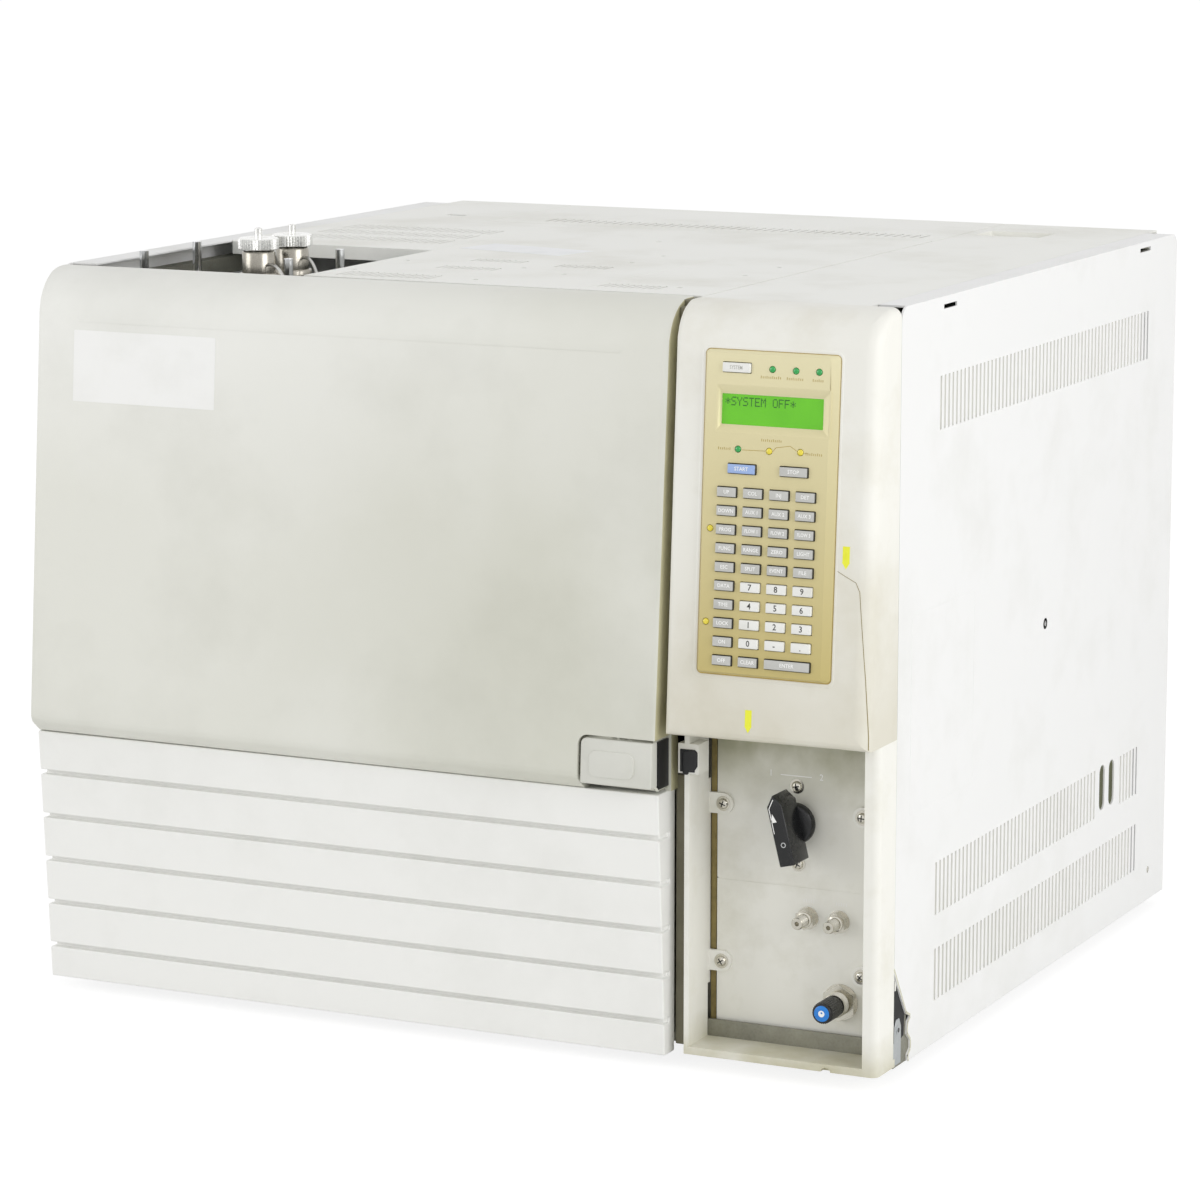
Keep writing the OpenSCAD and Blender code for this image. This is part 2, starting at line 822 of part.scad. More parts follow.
// holes of the keypad panel, drawn on the leaning face
module key_at(c, r, g) {
  rect(key_x0 + c * key_dx - key_w / 2 - g, key_z0 - r * key_dz - key_h / 2 - g,
    key_x0 + c * key_dx + key_w / 2 + g, key_z0 - r * key_dz + key_h / 2 + g);
}
module wide_key(x, z, kw, kh, g) {
  rect(x + ex - kw / 2 - g, z - kh / 2 - g, x + ex + kw / 2 + g, z + kh / 2 + g);
}
module system_shape(g) {
  wide_key(187, 208.2, 16.6, 5.2, g);
}
module start_shape(g) {
  wide_key(191.8, 152.5, 16.6, 5.2, g);
}
module stop_shape(g) {
  wide_key(222.9, 152.7, 16.6, 5.2, g);
}
module enter_shape(g) {
  wide_key(222.6, key_z0 - 9 * key_dz, 27.2, key_h, g);
}
module function_shapes(g) {
  for (r = [0 : 4], c = [0 : 3])
    key_at(c, r, g);
  for (r = [5 : 8])
    key_at(0, r, g);
}
module number_shapes(g) {
  for (r = [5 : 8], c = [1 : 3])
    key_at(c, r, g);
}
module command_shapes(g) {
  for (c = [0, 1])
    key_at(c, 9, g);
}
module lamp_shapes(g) {
  for (p = lamps)
    translate([p[0] + ex, p[1]])
      circle(r = 1.8 + g);
}
module press(y0, y1) {
  on_face()
    xz(y0, y1)
      children();
}
key_gap = 0.4;

module keypad_panel() {
  color([0.8, 0.7, 0.45])
    press(-3, 0)
      difference() {
        rect(pad_l, pad_z0, pad_r, pad_z1);
        system_shape(key_gap);
        start_shape(key_gap);
        stop_shape(key_gap);
        enter_shape(key_gap);
        function_shapes(key_gap);
        number_shapes(key_gap);
        command_shapes(key_gap);
        lamp_shapes(0.2);
        rect(176 + ex, 176, 241 + ex, 194);
      }
}

module display_board() {
  color([0.12, 0.36, 0.22])
    union() {
      press(8, 9.6)
        rect(pad_l + 4, pad_z0 + 4, pad_r - 4, pad_z1 - 4);
      press(0.2, 8)
        rect(174 + ex, 174.5, 243 + ex, 195.5);
    }
}

module status_lamps() {
  color([0.2, 0.75, 0.3])
    press(-3.9, 8)
      lamp_shapes(0);
}

module system_key() {
  color([0.93, 0.93, 0.9])
    press(-3 - key_out, 5.5)
      system_shape(0);
}
module start_key() {
  color([0.5, 0.65, 0.9])
    press(-3 - key_out, 5.5)
      start_shape(0);
}
module stop_key() {
  color([0.66, 0.66, 0.67])
    press(-3 - key_out, 5.5)
      stop_shape(0);
}
module function_keys() {
  color([0.62, 0.62, 0.63])
    press(-3 - key_out, 5.5)
      function_shapes(0);
}
module number_keys() {
  color([0.92, 0.92, 0.9])
    press(-3 - key_out, 5.5)
      number_shapes(0);
}
module command_keys() {
  color([0.62, 0.62, 0.63])
    press(-3 - key_out, 5.5)
      command_shapes(0);
}
module enter_key() {
  color([0.62, 0.62, 0.63])
    press(-3 - key_out, 5.5)
      enter_shape(0);
}

bay_l = col + 1.8;

module bay_frame() {
  color([0.92, 0.91, 0.87])
    difference() {
      union() {
        bx([bay_l, bay_y, 9.5], [bay_l + w, -215.3, lean_z]);
        bx([bay_l, bay_y, 9.5], [hx, -215, 14]);
        bx([hx - 9, bay_y, 9.5], [hx, bay_y + w, lean_z]);
        bx([hx - w, bay_y, 9.5], [hx, -217.3, lean_z]);
        bx([bay_l, bay_y, lean_z - 3], [hx, bay_y + 16, lean_z]);
        // ears that hold the valve panel
        for (p = tabs) {
          rod_y(vp_y - 2, vp_y, p[0], p[1], 6);
          if (p[0] < knob_x)
            bx([bay_l + 1, vp_y - 2, p[1] - 6], [p[0], vp_y, p[1] + 6]);
          else
            bx([p[0], vp_y - 2, p[1] - 6], [hx - 1, vp_y, p[1] + 6]);
        }
        bx([bay_l, -216, 45], [bay_l + w, vp_y, 165]);
        bx([hx - w, -218, 45], [hx - t, vp_y, 165]);
        // block of the latch catch
        bx([bay_l - 3.9, bay_y, 173], [bay_l + 8.7, bay_y + 14, 190.3]);
      }
      bx([bay_l - 2.6, bay_y - 1, 174], [bay_l + 6.4, bay_y + 8, 187]);
      rod_y(bay_y - 1, bay_y + 4, 238.9 + ex, 9, 3);
      for (p = tabs)
        rod_y(vp_y - 3, vp_y + 1, p[0], p[1], 1.6);
    }
}

module latch_keeper() {
  color([0.06, 0.06, 0.06])
    difference() {
      bx([bay_l - 2.6, bay_y - 0.6, 174], [bay_l + 6.4, bay_y + 8, 187]);
      bx([bay_l - 1, bay_y - 1, 176], [bay_l + 4.8, bay_y + 6, 185]);
    }
}

module valve_panel() {
  color([0.82, 0.8, 0.76])
    difference() {
      union() {
        bx([158.5 + ex, vp_y, 16], [hx - 4, vp_y + t, 106.6]);
        bx([158.5 + ex, vp_y, 107.4], [hx - 4, vp_y + t, 196]);
      }
      for (p = tabs)
        rod_y(vp_y - 2, vp_y + 3, p[0], p[1], 1.6);
      for (p = [[207.6, 165], [208.7, 120]])
        rod_y(vp_y - 2, vp_y + 3, p[0] + ex, p[1], 1.6);
      rod_y(vp_y - 2, vp_y + 3, knob_x, knob_z, 5.5);
      for (p = outs)
        rod_y(vp_y - 2, vp_y + 3, p[0], p[1], 3.4);
      rod_y(vp_y - 2, vp_y + 3, flow_x, flow_z, 4.7);
    }
}

module selector_valve() {
  color([0.7, 0.71, 0.72])
    difference() {
      union() {
        rod_y(vp_y + t, -168, knob_x, knob_z, 17);
        rod_y(vp_y - 3.5, vp_y + t, knob_x, knob_z, 5.3);
        for (a = [0 : 60 : 300])
          rod_y(-168, -160, knob_x + 11 * cos(a), knob_z + 11 * sin(a), 1.6);
      }
      rod_y(vp_y - 4, -190, knob_x, knob_z, 3 + run);
      for (p = [[207.6, 165], [208.7, 120]])
        rod_y(vp_y, -200, p[0] + ex, p[1], 1.7);
    }
}

module selector_knob() {
  color([0.06, 0.06, 0.07])
    translate([knob_x, 0, knob_z])
      rotate([0, -10, 0])
        union() {
          rod_y(vp_y - 8, vp_y - 4, 0, 0, 12);
          rod_y(vp_y - 4, -192, 0, 0, 3);
          xz(-240, vp_y - 8)
            polygon([[-4.8, -knob_len / 2], [4.8, -knob_len / 2], [4.8, knob_len / 2 - 5],
              [0, knob_len / 2], [-4.8, knob_len / 2 - 5]]);
        }
}

module valve_fittings() {
  color([0.76, 0.76, 0.75])
    difference() {
      union() {
        for (p = outs) {
          hex_y(vp_y - 7, vp_y, p[0], p[1], 11);
          rod_y(-228, vp_y - 7, p[0], p[1], 3.5);
          rod_y(vp_y, -190, p[0], p[1], 3.2);
          hex_y(vp_y + t, vp_y + t + 4, p[0], p[1], 11);
        }
        hex_y(vp_y - 4, vp_y, flow_x, flow_z, 19);
        rod_y(vp_y - 10, vp_y - 4, flow_x, flow_z, 7);
        rod_y(vp_y, vp_y + t, flow_x, flow_z, 4.5);
        rod_y(vp_y + t, -180, flow_x, flow_z, 10);
      }
      for (p = outs)
        rod_y(-229, -200, p[0], p[1], 1.5);
      rod_y(vp_y - 11, -200, flow_x, flow_z, 2 + run);
    }
}

module flow_knob() {
  color([0.1, 0.1, 0.11])
    union() {
      rod_y(-240, vp_y - 11, flow_x, flow_z, flow_d / 2);
      rod_y(vp_y - 11, -202, flow_x, flow_z, 2);
    }
}

module panel_screws() {
  color([0.7, 0.7, 0.7])
    union() {
      for (p = tabs) {
        rod_y(vp_y - 4, vp_y - 2, p[0], p[1], 3.1);
        rod_y(vp_y - 2, vp_y + t, p[0], p[1], 1.5);
      }
      for (p = [[207.6, 165], [208.7, 120]]) {
        rod_y(vp_y - 1.8, vp_y, p[0] + ex, p[1], 3.1);
        rod_y(vp_y, vp_y + 6, p[0] + ex, p[1], 1.5);
      }
      translate([hx - 0.2, 0, 0]) {
        rod_x(-12, 0, back - 31.1, 28.1, 1.9);
        rod_x(0, 0.2, back - 31.1, 28.1, 2);
      }
    }
}

notch_l = dr - 46;

module door_upper_cover() {
  color([0.9, 0.9, 0.88])
    difference() {
      intersection() {
        yz(dl, dr) {
          front_shape(door_y, door_z, door_m, top, door_r, -213, 0);
          polygon([[door_back, seam_z], [low_y, seam_z], [-263.7, 168.1], [door_y, door_z],
            [door_y + 1, door_z + 1], [door_back, door_z + 1]]);
        }
        xz(-290, -200)
          arch(dl, 150, dr, top, end_r);
      }
      intersection() {
        yz(dl + w, dr - w)
          front_shape(door_y - 3 * door_m, door_z - 3, door_m, top, door_r, -200, w);
        xz(-290, -200)
          arch(dl + w, 150, dr - w, top - w, end_r - w);
      }
      xz(-290, -241.8)
        arch(notch_l, 165, dr + 10, 195, 6);
      // the flanks end ahead of the top edge, with clearance at the hinge corner
      bx([dl - 1, door_back, seam_z - 1], [dr + 1, -200, top - 16]);
      bx([dl - 1, -219, top - 20], [hinge_x, -212, top + 1]);
    }
}

module low_cut(g) {
  for (i = [0 : 4])
    rect(-290, 26.5 + i * groove_pitch - g,
      low_y + (seam_z - 26.5 - i * groove_pitch) * low_m + groove_in + g,
      26.5 + i * groove_pitch + groove_h + g);
}

module door_lower_cover() {
  color([0.9, 0.9, 0.88])
    difference() {
      yz(dl, dr)
        difference() {
          polygon([[low_y, seam_z], [low_y + (seam_z - 8) * low_m, 8], [door_back, 8],
            [door_back, seam_z]]);
          low_cut(0);
        }
      yz(dl + w, dr - w)
        difference() {
          polygon([[low_y + w, seam_z - w], [low_y + (seam_z - 8) * low_m + w, 8 + w],
            [-230, 8 + w], [-230, seam_z - w]]);
          low_cut(2);
        }
      // grooves carried round onto the two flanks
      for (i = [0 : 4]) {
        bx([dr - 1.8, -270, 26.5 + i * groove_pitch],
          [dr + 1, -241.5, 26.5 + i * groove_pitch + groove_h]);
        rod_x(dr - 1.8, dr + 1, -241.5, 26.5 + i * groove_pitch + groove_h / 2, groove_h / 2);
        bx([dl - 1, -270, 26.5 + i * groove_pitch],
          [dl + 1.8, -235, 26.5 + i * groove_pitch + groove_h]);
      }
    }
}

pan_l = dl + 12;
pan_r = dr - 7.5;

module door_pan() {
  color([0.2, 0.2, 0.21])
    difference() {
      union() {
        difference() {
          bx([pan_l, -232, 14], [pan_r, -216.5, top - 12]);
          bx([pan_l + t, -232 + t, 14 + t], [pan_r - t, -210, top - 12 - t]);
        }
        for (z = [34, top - 37])
          union() {
            bx([hinge_x, hinge_y - 2.8, z], [pan_l, hinge_y + 2.8, z + 3]);
            rod_z(z, z + 3, hinge_x, hinge_y, 2.8);
          }
      }
      for (z = [34, top - 37])
        rod_z(z - 1, z + 4, hinge_x, hinge_y, hinge_r + run);
    }
}

module door_insulation() {
  color([0.93, 0.9, 0.8])
    bx([pan_l + t, -232 + t, 14 + t], [pan_r - t, -216.5, top - 12 - t]);
}

module door_liner() {
  color([0.66, 0.66, 0.65])
    difference() {
      union() {
        bx([pan_l, -216.5, 14], [pan_r, -215.3, top - 12]);
        bx([lin_l + 6, -215.3, lin_z0 + 6], [lin_r - 6, -206, lin_z1 - 6]);
        // seal round the mouth of the oven
        difference() {
          bx([lin_l - 12, -215.3, lin_z0 - 12], [lin_r + 12, -213.3, lin_z1 + 12]);
          bx([lin_l - 4, -216, lin_z0 - 4], [lin_r + 4, -213, lin_z1 + 4]);
        }
      }
      bx([lin_l + 7, -216, lin_z0 + 7], [lin_r - 7, -207, lin_z1 - 7]);
    }
}

latch_x = notch_l + 6;
latch_y = -252;

module latch_body() {
  color([0.05, 0.05, 0.05])
    union() {
      bx([notch_l + 0.3, -245, 165.2], [dr, -242, 192.6]);
      bx([notch_l + 0.3, -250, 165.2], [notch_l + 2.2, -245, 192.6]);
      bx([dr - 2.4, -255.8, 165.2], [dr, -245, 192.6]);
      bx([notch_l + 2.2, -254.5, 165.2], [notch_l + 10, -245, 167]);
      bx([notch_l + 2.2, -254.5, 190.8], [notch_l + 10, -245, 192.6]);
      rod_z(165.2, 192.6, latch_x, latch_y, 1.5);
      bx([notch_l + 14, -242, 172], [notch_l + 24, -232, 186]);
    }
}

module door_handle() {
  color([0.93, 0.92, 0.88])
    difference() {
      union() {
        bx([notch_l + 2.6, -258.8, 167.4], [dr - 0.2, -256.4, 190.4]);
        bx([latch_x - 3, -256.4, 167.4], [latch_x + 3, latch_y, 190.4]);
        rod_z(167.4, 190.4, latch_x, latch_y, 3);
        bx([notch_l + 2.6, -258.8, 166.2], [dr - 0.2, -257, 191.8]);
      }
      rod_z(167, 191, latch_x, latch_y, 1.5 + run);
    }
}

base_pan();
rubber_feet();
left_side_panel();
right_side_panel();
rear_panel();
chassis_frame();
hinge_pins();
centre_cover();
detector_cover();
rear_left_cover();
rear_centre_cover();
right_top_cover();
oven_casing();
oven_insulation();
oven_liner();
fan_motor();
fan_wheel();
fan_baffle();
heater_coil();
capillary_column();
oven_vent_flaps();
flap_motor();
injector_bodies();
septum_cap_front();
septum_cap_rear();
lid_studs();
detectors();
electronics_fan();
fan_frame();
power_supply();
main_board();
mains_inlet();
power_switch();
gas_bulkheads();
keypad_housing();
keypad_panel();
display_board();
status_lamps();
bay_frame();
valve_panel();
selector_valve();
selector_knob();
valve_fittings();
flow_knob();
panel_screws();
latch_keeper();
door_upper_cover();
door_lower_cover();
door_pan();
door_insulation();
door_liner();
latch_body();
door_handle();
system_key();
start_key();
stop_key();
function_keys();
number_keys();
command_keys();
enter_key();
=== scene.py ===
# %% [markdown]
# # A bench gas chromatograph
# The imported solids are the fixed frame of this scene. Every cell below either gives one of those
# solids a real finish, or makes a finer piece that stands in its place. Work is in millimetres
# while a piece is shaped, and turns to metres when the piece is finished.

# %% Load the frame
import json
import math

import bmesh
import bpy
from mathutils import Matrix, Vector


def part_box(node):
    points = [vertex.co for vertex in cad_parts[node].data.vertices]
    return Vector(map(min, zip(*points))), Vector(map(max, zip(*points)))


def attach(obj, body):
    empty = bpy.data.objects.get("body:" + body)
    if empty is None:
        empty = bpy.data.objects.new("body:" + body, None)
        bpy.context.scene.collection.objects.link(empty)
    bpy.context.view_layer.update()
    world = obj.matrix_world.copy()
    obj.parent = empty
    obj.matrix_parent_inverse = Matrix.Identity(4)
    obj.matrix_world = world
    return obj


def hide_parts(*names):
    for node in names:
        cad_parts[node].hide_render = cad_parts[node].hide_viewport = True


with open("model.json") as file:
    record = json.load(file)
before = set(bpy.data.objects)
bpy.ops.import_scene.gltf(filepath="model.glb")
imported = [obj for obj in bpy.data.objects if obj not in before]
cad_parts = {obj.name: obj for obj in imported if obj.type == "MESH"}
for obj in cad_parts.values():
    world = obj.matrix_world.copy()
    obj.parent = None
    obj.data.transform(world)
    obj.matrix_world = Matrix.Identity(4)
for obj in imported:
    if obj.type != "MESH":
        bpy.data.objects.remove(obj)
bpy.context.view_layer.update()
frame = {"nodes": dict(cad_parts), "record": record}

SOLIDS = frame["nodes"]
BODY_OF = {n: body for body, members in frame["record"]["behaviour"]["bodies"].items()
           for n in members}

# %% [markdown]
# ## Camera
# The instrument is seen from its right front, a little above the bench, through a long lens, so
# its edges stay nearly parallel. A camera looks along its own -Z, so its X angle is 90 degrees
# less the downward tilt. One small helper links the camera, and later each piece, to the scene.

# %% Camera
AZIMUTH = math.radians(25.67)
ELEVATION = math.radians(10.16)


def place_object(name, data):
    """A new object at the origin, linked to the scene."""
    made = bpy.data.objects.new(name, data)
    bpy.context.collection.objects.link(made)
    return made


camera = place_object("camera", bpy.data.cameras.new("camera"))
camera.data.sensor_width = 36
camera.data.lens = 134.0
camera.data.clip_end = 30
camera.location = (1.17473, -2.48127, 0.71344)
camera.rotation_euler = (math.pi / 2 - ELEVATION, 0, AZIMUTH)
bpy.context.scene.camera = camera
print("camera lens", camera.data.lens, "at", [round(v, 3) for v in camera.location])

# %% [markdown]
# ## Helpers for materials
# Colours are picked as the eye sees them, in sRGB hex, but a shader works in linear light, so one
# function converts them. Another adds a node, sets what is named, and links what comes from
# another node. The last two start a material, and turn a size in millimetres into a noise scale.

# %% Helpers for materials


def tone(hex_code):
    """sRGB hex to linear RGBA."""
    parts = [int(hex_code[i:i + 2], 16) / 255 for i in (1, 3, 5)]
    linear = [c / 12.92 if c <= 0.04045 else ((c + 0.055) / 1.055) ** 2.4 for c in parts]
    return (*linear, 1.0)


def add(tree, kind, inputs=None, **settings):
    """Adds one node; an input that is a socket is linked, any other value is set."""
    made = tree.nodes.new(kind)
    for key, value in settings.items():
        setattr(made, key, value)
    for key, value in (inputs or {}).items():
        if isinstance(value, bpy.types.NodeSocket):
            tree.links.new(value, made.inputs[key])
        else:
            made.inputs[key].default_value = value
    return made


def new_material(name, **shader_values):
    """A material with its Principled shader, and the Object coordinates that patterns use."""
    made = bpy.data.materials.new(name)
    made.use_nodes = True
    tree = made.node_tree
    shader = tree.nodes["Principled BSDF"]
    for key, value in shader_values.items():
        shader.inputs[key.replace("_", " ")].default_value = value
    where = add(tree, "ShaderNodeTexCoord").outputs["Object"]
    print("material", name)
    return made, tree, shader, where


MM = 0.001


def per(size_mm):
    """Noise scale for features of this size."""
    return 1 / (size_mm * MM)

# %% [markdown]
# ## A coated skin
# Sprayed powder melts into a skin with a slight orange peel, and moulded plastic copies the grain
# of its tool. Years of hands and dust leave broad, faint patches on both. Two noises do that: a
# wide one tints the colour and varies the gloss, and a fine one drives a shallow bump. Image
# textures could do the same, but every piece would have to be unwrapped for them.

# %% A coated skin
TINT_STARTS, TINT_FULL = 0.48, 0.78
NOISE_LOW, NOISE_HIGH = 0.3, 0.7
GLOSSIER, DULLER = 0.06, 0.08


def coated(name, clean, worn, peel_mm, depth_mm, rough, patch_mm=90):
    """Skin of paint or moulded plastic: a patchy tint under a fine relief."""
    made, tree, shader, where = new_material(name, Roughness=rough)
    patches = add(tree, "ShaderNodeTexNoise", {
        "Vector": where, "Scale": per(patch_mm), "Detail": 6, "Roughness": 0.6})
    spread = add(tree, "ShaderNodeMapRange", {
        "Value": patches.outputs["Fac"], "From Min": TINT_STARTS, "From Max": TINT_FULL})
    tint = add(tree, "ShaderNodeMix", {
        "Factor": spread.outputs["Result"], "A": tone(clean), "B": tone(worn)}, data_type="RGBA")
    tree.links.new(tint.outputs["Result"], shader.inputs["Base Color"])
    relief = add(tree, "ShaderNodeTexNoise", {"Vector": where, "Scale": per(peel_mm), "Detail": 2})
    bump = add(tree, "ShaderNodeBump", {
        "Height": relief.outputs["Fac"], "Strength": 1.0, "Distance": depth_mm * MM})
    tree.links.new(bump.outputs["Normal"], shader.inputs["Normal"])
    gloss = add(tree, "ShaderNodeMapRange", {
        "Value": patches.outputs["Fac"], "From Min": NOISE_LOW, "From Max": NOISE_HIGH,
        "To Min": rough - GLOSSIER, "To Max": rough + DULLER})
    tree.links.new(gloss.outputs["Result"], shader.inputs["Roughness"])
    return made

# %% [markdown]
# ## A darkening film
# A film darkens a skin, so it is multiplied with the skin's colour. It grows along one axis, and a
# noise breaks it up. On the door and the valve panel it is painted shade, and painted light where
# the door's top is left brighter. Painted vertex colours could do this too, but only on a finer mesh.

# %% A darkening film
FILM_GAIN = 1.8


def darkening_film(made, shade, start, end, axis="Z", patch_mm=25):
    """Multiplies a darker film over a skin; it grows from start to end, in millimetres."""
    tree = made.node_tree
    shader = tree.nodes["Principled BSDF"]
    skin = shader.inputs["Base Color"].links[0].from_socket
    where = add(tree, "ShaderNodeTexCoord").outputs["Object"]
    along = add(tree, "ShaderNodeSeparateXYZ", {"Vector": where})
    film = add(tree, "ShaderNodeMapRange", {
        "Value": along.outputs[axis], "From Min": start * MM, "From Max": end * MM})
    film_breakup = add(tree, "ShaderNodeTexNoise", {"Vector": where, "Scale": per(patch_mm), "Detail": 5})
    broken = add(tree, "ShaderNodeMath", {0: film.outputs["Result"], 1: film_breakup.outputs["Fac"]},
                 operation="MULTIPLY")
    strong = add(tree, "ShaderNodeMath", {0: broken.outputs["Value"], 1: FILM_GAIN},
                 operation="MULTIPLY", use_clamp=True)
    mixed = add(tree, "ShaderNodeMix", {
        "Factor": strong.outputs["Value"], "A": skin, "B": tone(shade)},
        data_type="RGBA", blend_type="MULTIPLY")
    tree.links.new(mixed.outputs["Result"], shader.inputs["Base Color"])

# %% [markdown]
# ## Painted sheet metal
# The side panels and top covers are steel sheet with a baked powder coat, and its orange peel is
# about 2 mm from crest to crest. The sides are a colder white than the covers. The valve panel is
# darker near its top, right under the column: painted shade.

# %% Painted sheet metal
side_enamel = coated("powder_coated_steel_white", "#EEEEED", "#E5E5E2", 2.2, 0.02, 0.42)
cover_enamel = coated("powder_coated_steel_cream", "#F1F1EC", "#E4E3DB", 2.2, 0.025, 0.46)
panel_enamel = coated("powder_coated_valve_panel", "#EDECE4", "#DAD8CB", 2.0, 0.02, 0.44, 40)
# Painted shade: the valve panel darkens towards its top, under the column.
darkening_film(panel_enamel, "#B9B9A4", 150, 192)

# %% [markdown]
# ## Moulded covers
# The door covers and the keypad column are injection-moulded ABS with a spark-eroded grain: tiny
# pits well under a millimetre, drawn here at 1.2 mm so that they still show. ABS yellows with
# age, and the column has warm electronics behind it, so it has yellowed more than the door. Films
# darken the door towards its handle, as painted shade, and leave its top brighter, as painted light;
# the paler lower cover is painted light too. Other films darken the column towards its foot, and
# the frame of the valve bay along its bottom edge.

# %% Moulded covers
door_abs = coated("moulded_abs_cool_white", "#EDEDE8", "#E2E2DC", 1.2, 0.02, 0.5, 120)
# Painted shade: the door darkens towards its right, by its handle; painted light: its top stays
# brighter.
darkening_film(door_abs, "#EEEEE9", -170, 100, "X", 160)
darkening_film(door_abs, "#F3F3EF", 400, 300, "Z", 160)
# Painted light: the lower cover is paler than the door, lit by the bright table that it faces.
low_abs = coated("moulded_abs_lower_cover", "#F3F3F0", "#EAEAE6", 1.2, 0.02, 0.5, 110)
column_abs = coated("moulded_abs_yellowed", "#EEEDE6", "#E0DDD0", 1.2, 0.02, 0.5, 70)
darkening_film(column_abs, "#EAE7DE", 330, 190, "Z", 90)
bay_abs = coated("moulded_abs_bay_frame", "#EFEEE7", "#E4E2D6", 1.2, 0.02, 0.5, 35)
darkening_film(bay_abs, "#D2CEB6", 32, 6)
handle_abs = coated("moulded_abs_handle_grey", "#D5D5CD", "#CACAC0", 1.2, 0.02, 0.5, 40)
# Painted shade: the dark olive of the door's right flank, deep in the gap.
flank_shade_abs = coated("moulded_abs_flank_painted_shade", "#BDB895", "#A6A180", 1.2, 0.02, 0.7, 60)
black_abs = coated("moulded_abs_black", "#17181A", "#222326", 1.0, 0.02, 0.42, 30)
grey_abs = coated("moulded_abs_grey_keys", "#C4C4C0", "#B6B6B2", 0.8, 0.01, 0.5, 15)
white_abs = coated("moulded_abs_white_keys", "#ECECE8", "#DEDDD6", 0.8, 0.01, 0.45, 15)
blue_abs = coated("moulded_abs_blue_key", "#9DB6E4", "#8EA6D2", 0.8, 0.01, 0.45, 15)
# Painted shade: the dark upper and right sides of the grey and blue keys.
key_side_shade = coated("dark_key_side_painted_shade", "#4A4A46", "#3A3A38", 0.8, 0.01, 0.5, 15)
rubber = coated("moulded_rubber_black", "#1B1B1B", "#262625", 0.9, 0.03, 0.75, 20)

# %% [markdown]
# ## Bare metals
# Zinc-plated sheet is satin with a cloudy, slightly blue spangle. Stainless steel is brushed: its
# scratches run one way, so the noise is stretched forty times along them. Turned and chromed
# pieces are smoother. Each one is fully metallic, so its colour is what it reflects.

# %% Bare metals


def metal(name, light, dark, rough, grain_mm, stretch=(1, 1, 1), depth_mm=0.004, patch_mm=12):
    """A plated, brushed or turned metal: cloudy in colour, with fine scratches."""
    made, tree, shader, where = new_material(name, Metallic=1.0, Roughness=rough)
    cloud = add(tree, "ShaderNodeTexNoise", {"Vector": where, "Scale": per(patch_mm), "Detail": 4})
    tint = add(tree, "ShaderNodeMix", {
        "Factor": cloud.outputs["Fac"], "A": tone(light), "B": tone(dark)}, data_type="RGBA")
    tree.links.new(tint.outputs["Result"], shader.inputs["Base Color"])
    along = add(tree, "ShaderNodeMapping", {"Vector": where, "Scale": stretch})
    scratch = add(tree, "ShaderNodeTexNoise", {
        "Vector": along.outputs["Vector"], "Scale": per(grain_mm), "Detail": 3})
    bump = add(tree, "ShaderNodeBump", {
        "Height": scratch.outputs["Fac"], "Strength": 1.0, "Distance": depth_mm * MM})
    tree.links.new(bump.outputs["Normal"], shader.inputs["Normal"])
    gloss = add(tree, "ShaderNodeMapRange", {
        "Value": scratch.outputs["Fac"], "From Min": NOISE_LOW, "From Max": NOISE_HIGH,
        "To Min": rough * 0.8, "To Max": rough * 1.25})
    tree.links.new(gloss.outputs["Result"], shader.inputs["Roughness"])
    return made


zinc = metal("zinc_plated_sheet", "#C9CCCD", "#AEB4B8", 0.36, 1.5)
olive_grey_zinc = metal("zinc_plated_sheet_olive_grey", "#A6A598", "#84837A", 0.5, 1.5)
stainless = metal("brushed_stainless_steel", "#C6C5C2", "#B2B1AE", 0.3, 0.5, (1, 1, 0.025))
chrome = metal("chromed_steel", "#DADBDC", "#CBCDCF", 0.12, 1.0, depth_mm=0.001)
turned = metal("turned_aluminium", "#F6F6F4", "#E8E8E5", 0.25, 0.4, (0.1, 0.1, 1))
brass = metal("turned_brass", "#CDAF62", "#B89848", 0.25, 0.5)
oxidised = metal("oxidised_heater_wire", "#7C736A", "#5C534B", 0.5, 0.6)

# %% [markdown]
# ## Finishes inside the case
# What sits inside has plain working finishes: dark paint on the motors, matt and fuzzy ceramic
# fibre round the oven, and green solder mask on the boards. The column is thin silica tube under
# amber polyimide, which makes it look like copper wire.

# %% Finishes inside the case
dark_sheet = coated("painted_sheet_dark_grey", "#2C2D2F", "#38393A", 2.0, 0.02, 0.5)
fibre = coated("ceramic_fibre_board", "#E6DCC4", "#D2C4A4", 0.9, 0.25, 0.95, 6)
silica = coated("polyimide_coated_silica", "#7A4A1C", "#5E3612", 0.6, 0.02, 0.28, 8)
solder_mask = coated("solder_mask_green", "#1F5C36", "#174A2B", 3.0, 0.02, 0.3, 10)

# %% [markdown]
# ## Seals, gauze, dust and painted shade
# Rubber and gauze scatter light, so they are rough and dull. The gap between door and column sees
# little light, so its sheet has a warm dark grey of its own, painted shade, and its seal an olive
# grey, also painted shade, as is the olive sheet behind the side's wide openings. Brown dust fills the
# crack, and the same brown paints shade in the key holes and along a post. The broken edge of
# the side panel has the colour of bone.

# %% Seals, gauze, dust and painted shade
# Painted shade: the door pan's warm dark grey, seen deep in the gap.
shadow_grey = coated("warm_dark_grey_painted_shade", "#6A685B", "#5A584C", 1.5, 0.02, 0.6, 60)
# Painted shade: the seal's olive grey, deep in the gap by the door.
seal_shade_olive = coated("rubber_seal_olive_painted_shade", "#7A7663", "#66624F", 0.9, 0.02, 0.8, 25)
gauze_pale = coated("dust_gauze_pale", "#C9C7B4", "#B5B39C", 0.8, 0.02, 0.9, 60)
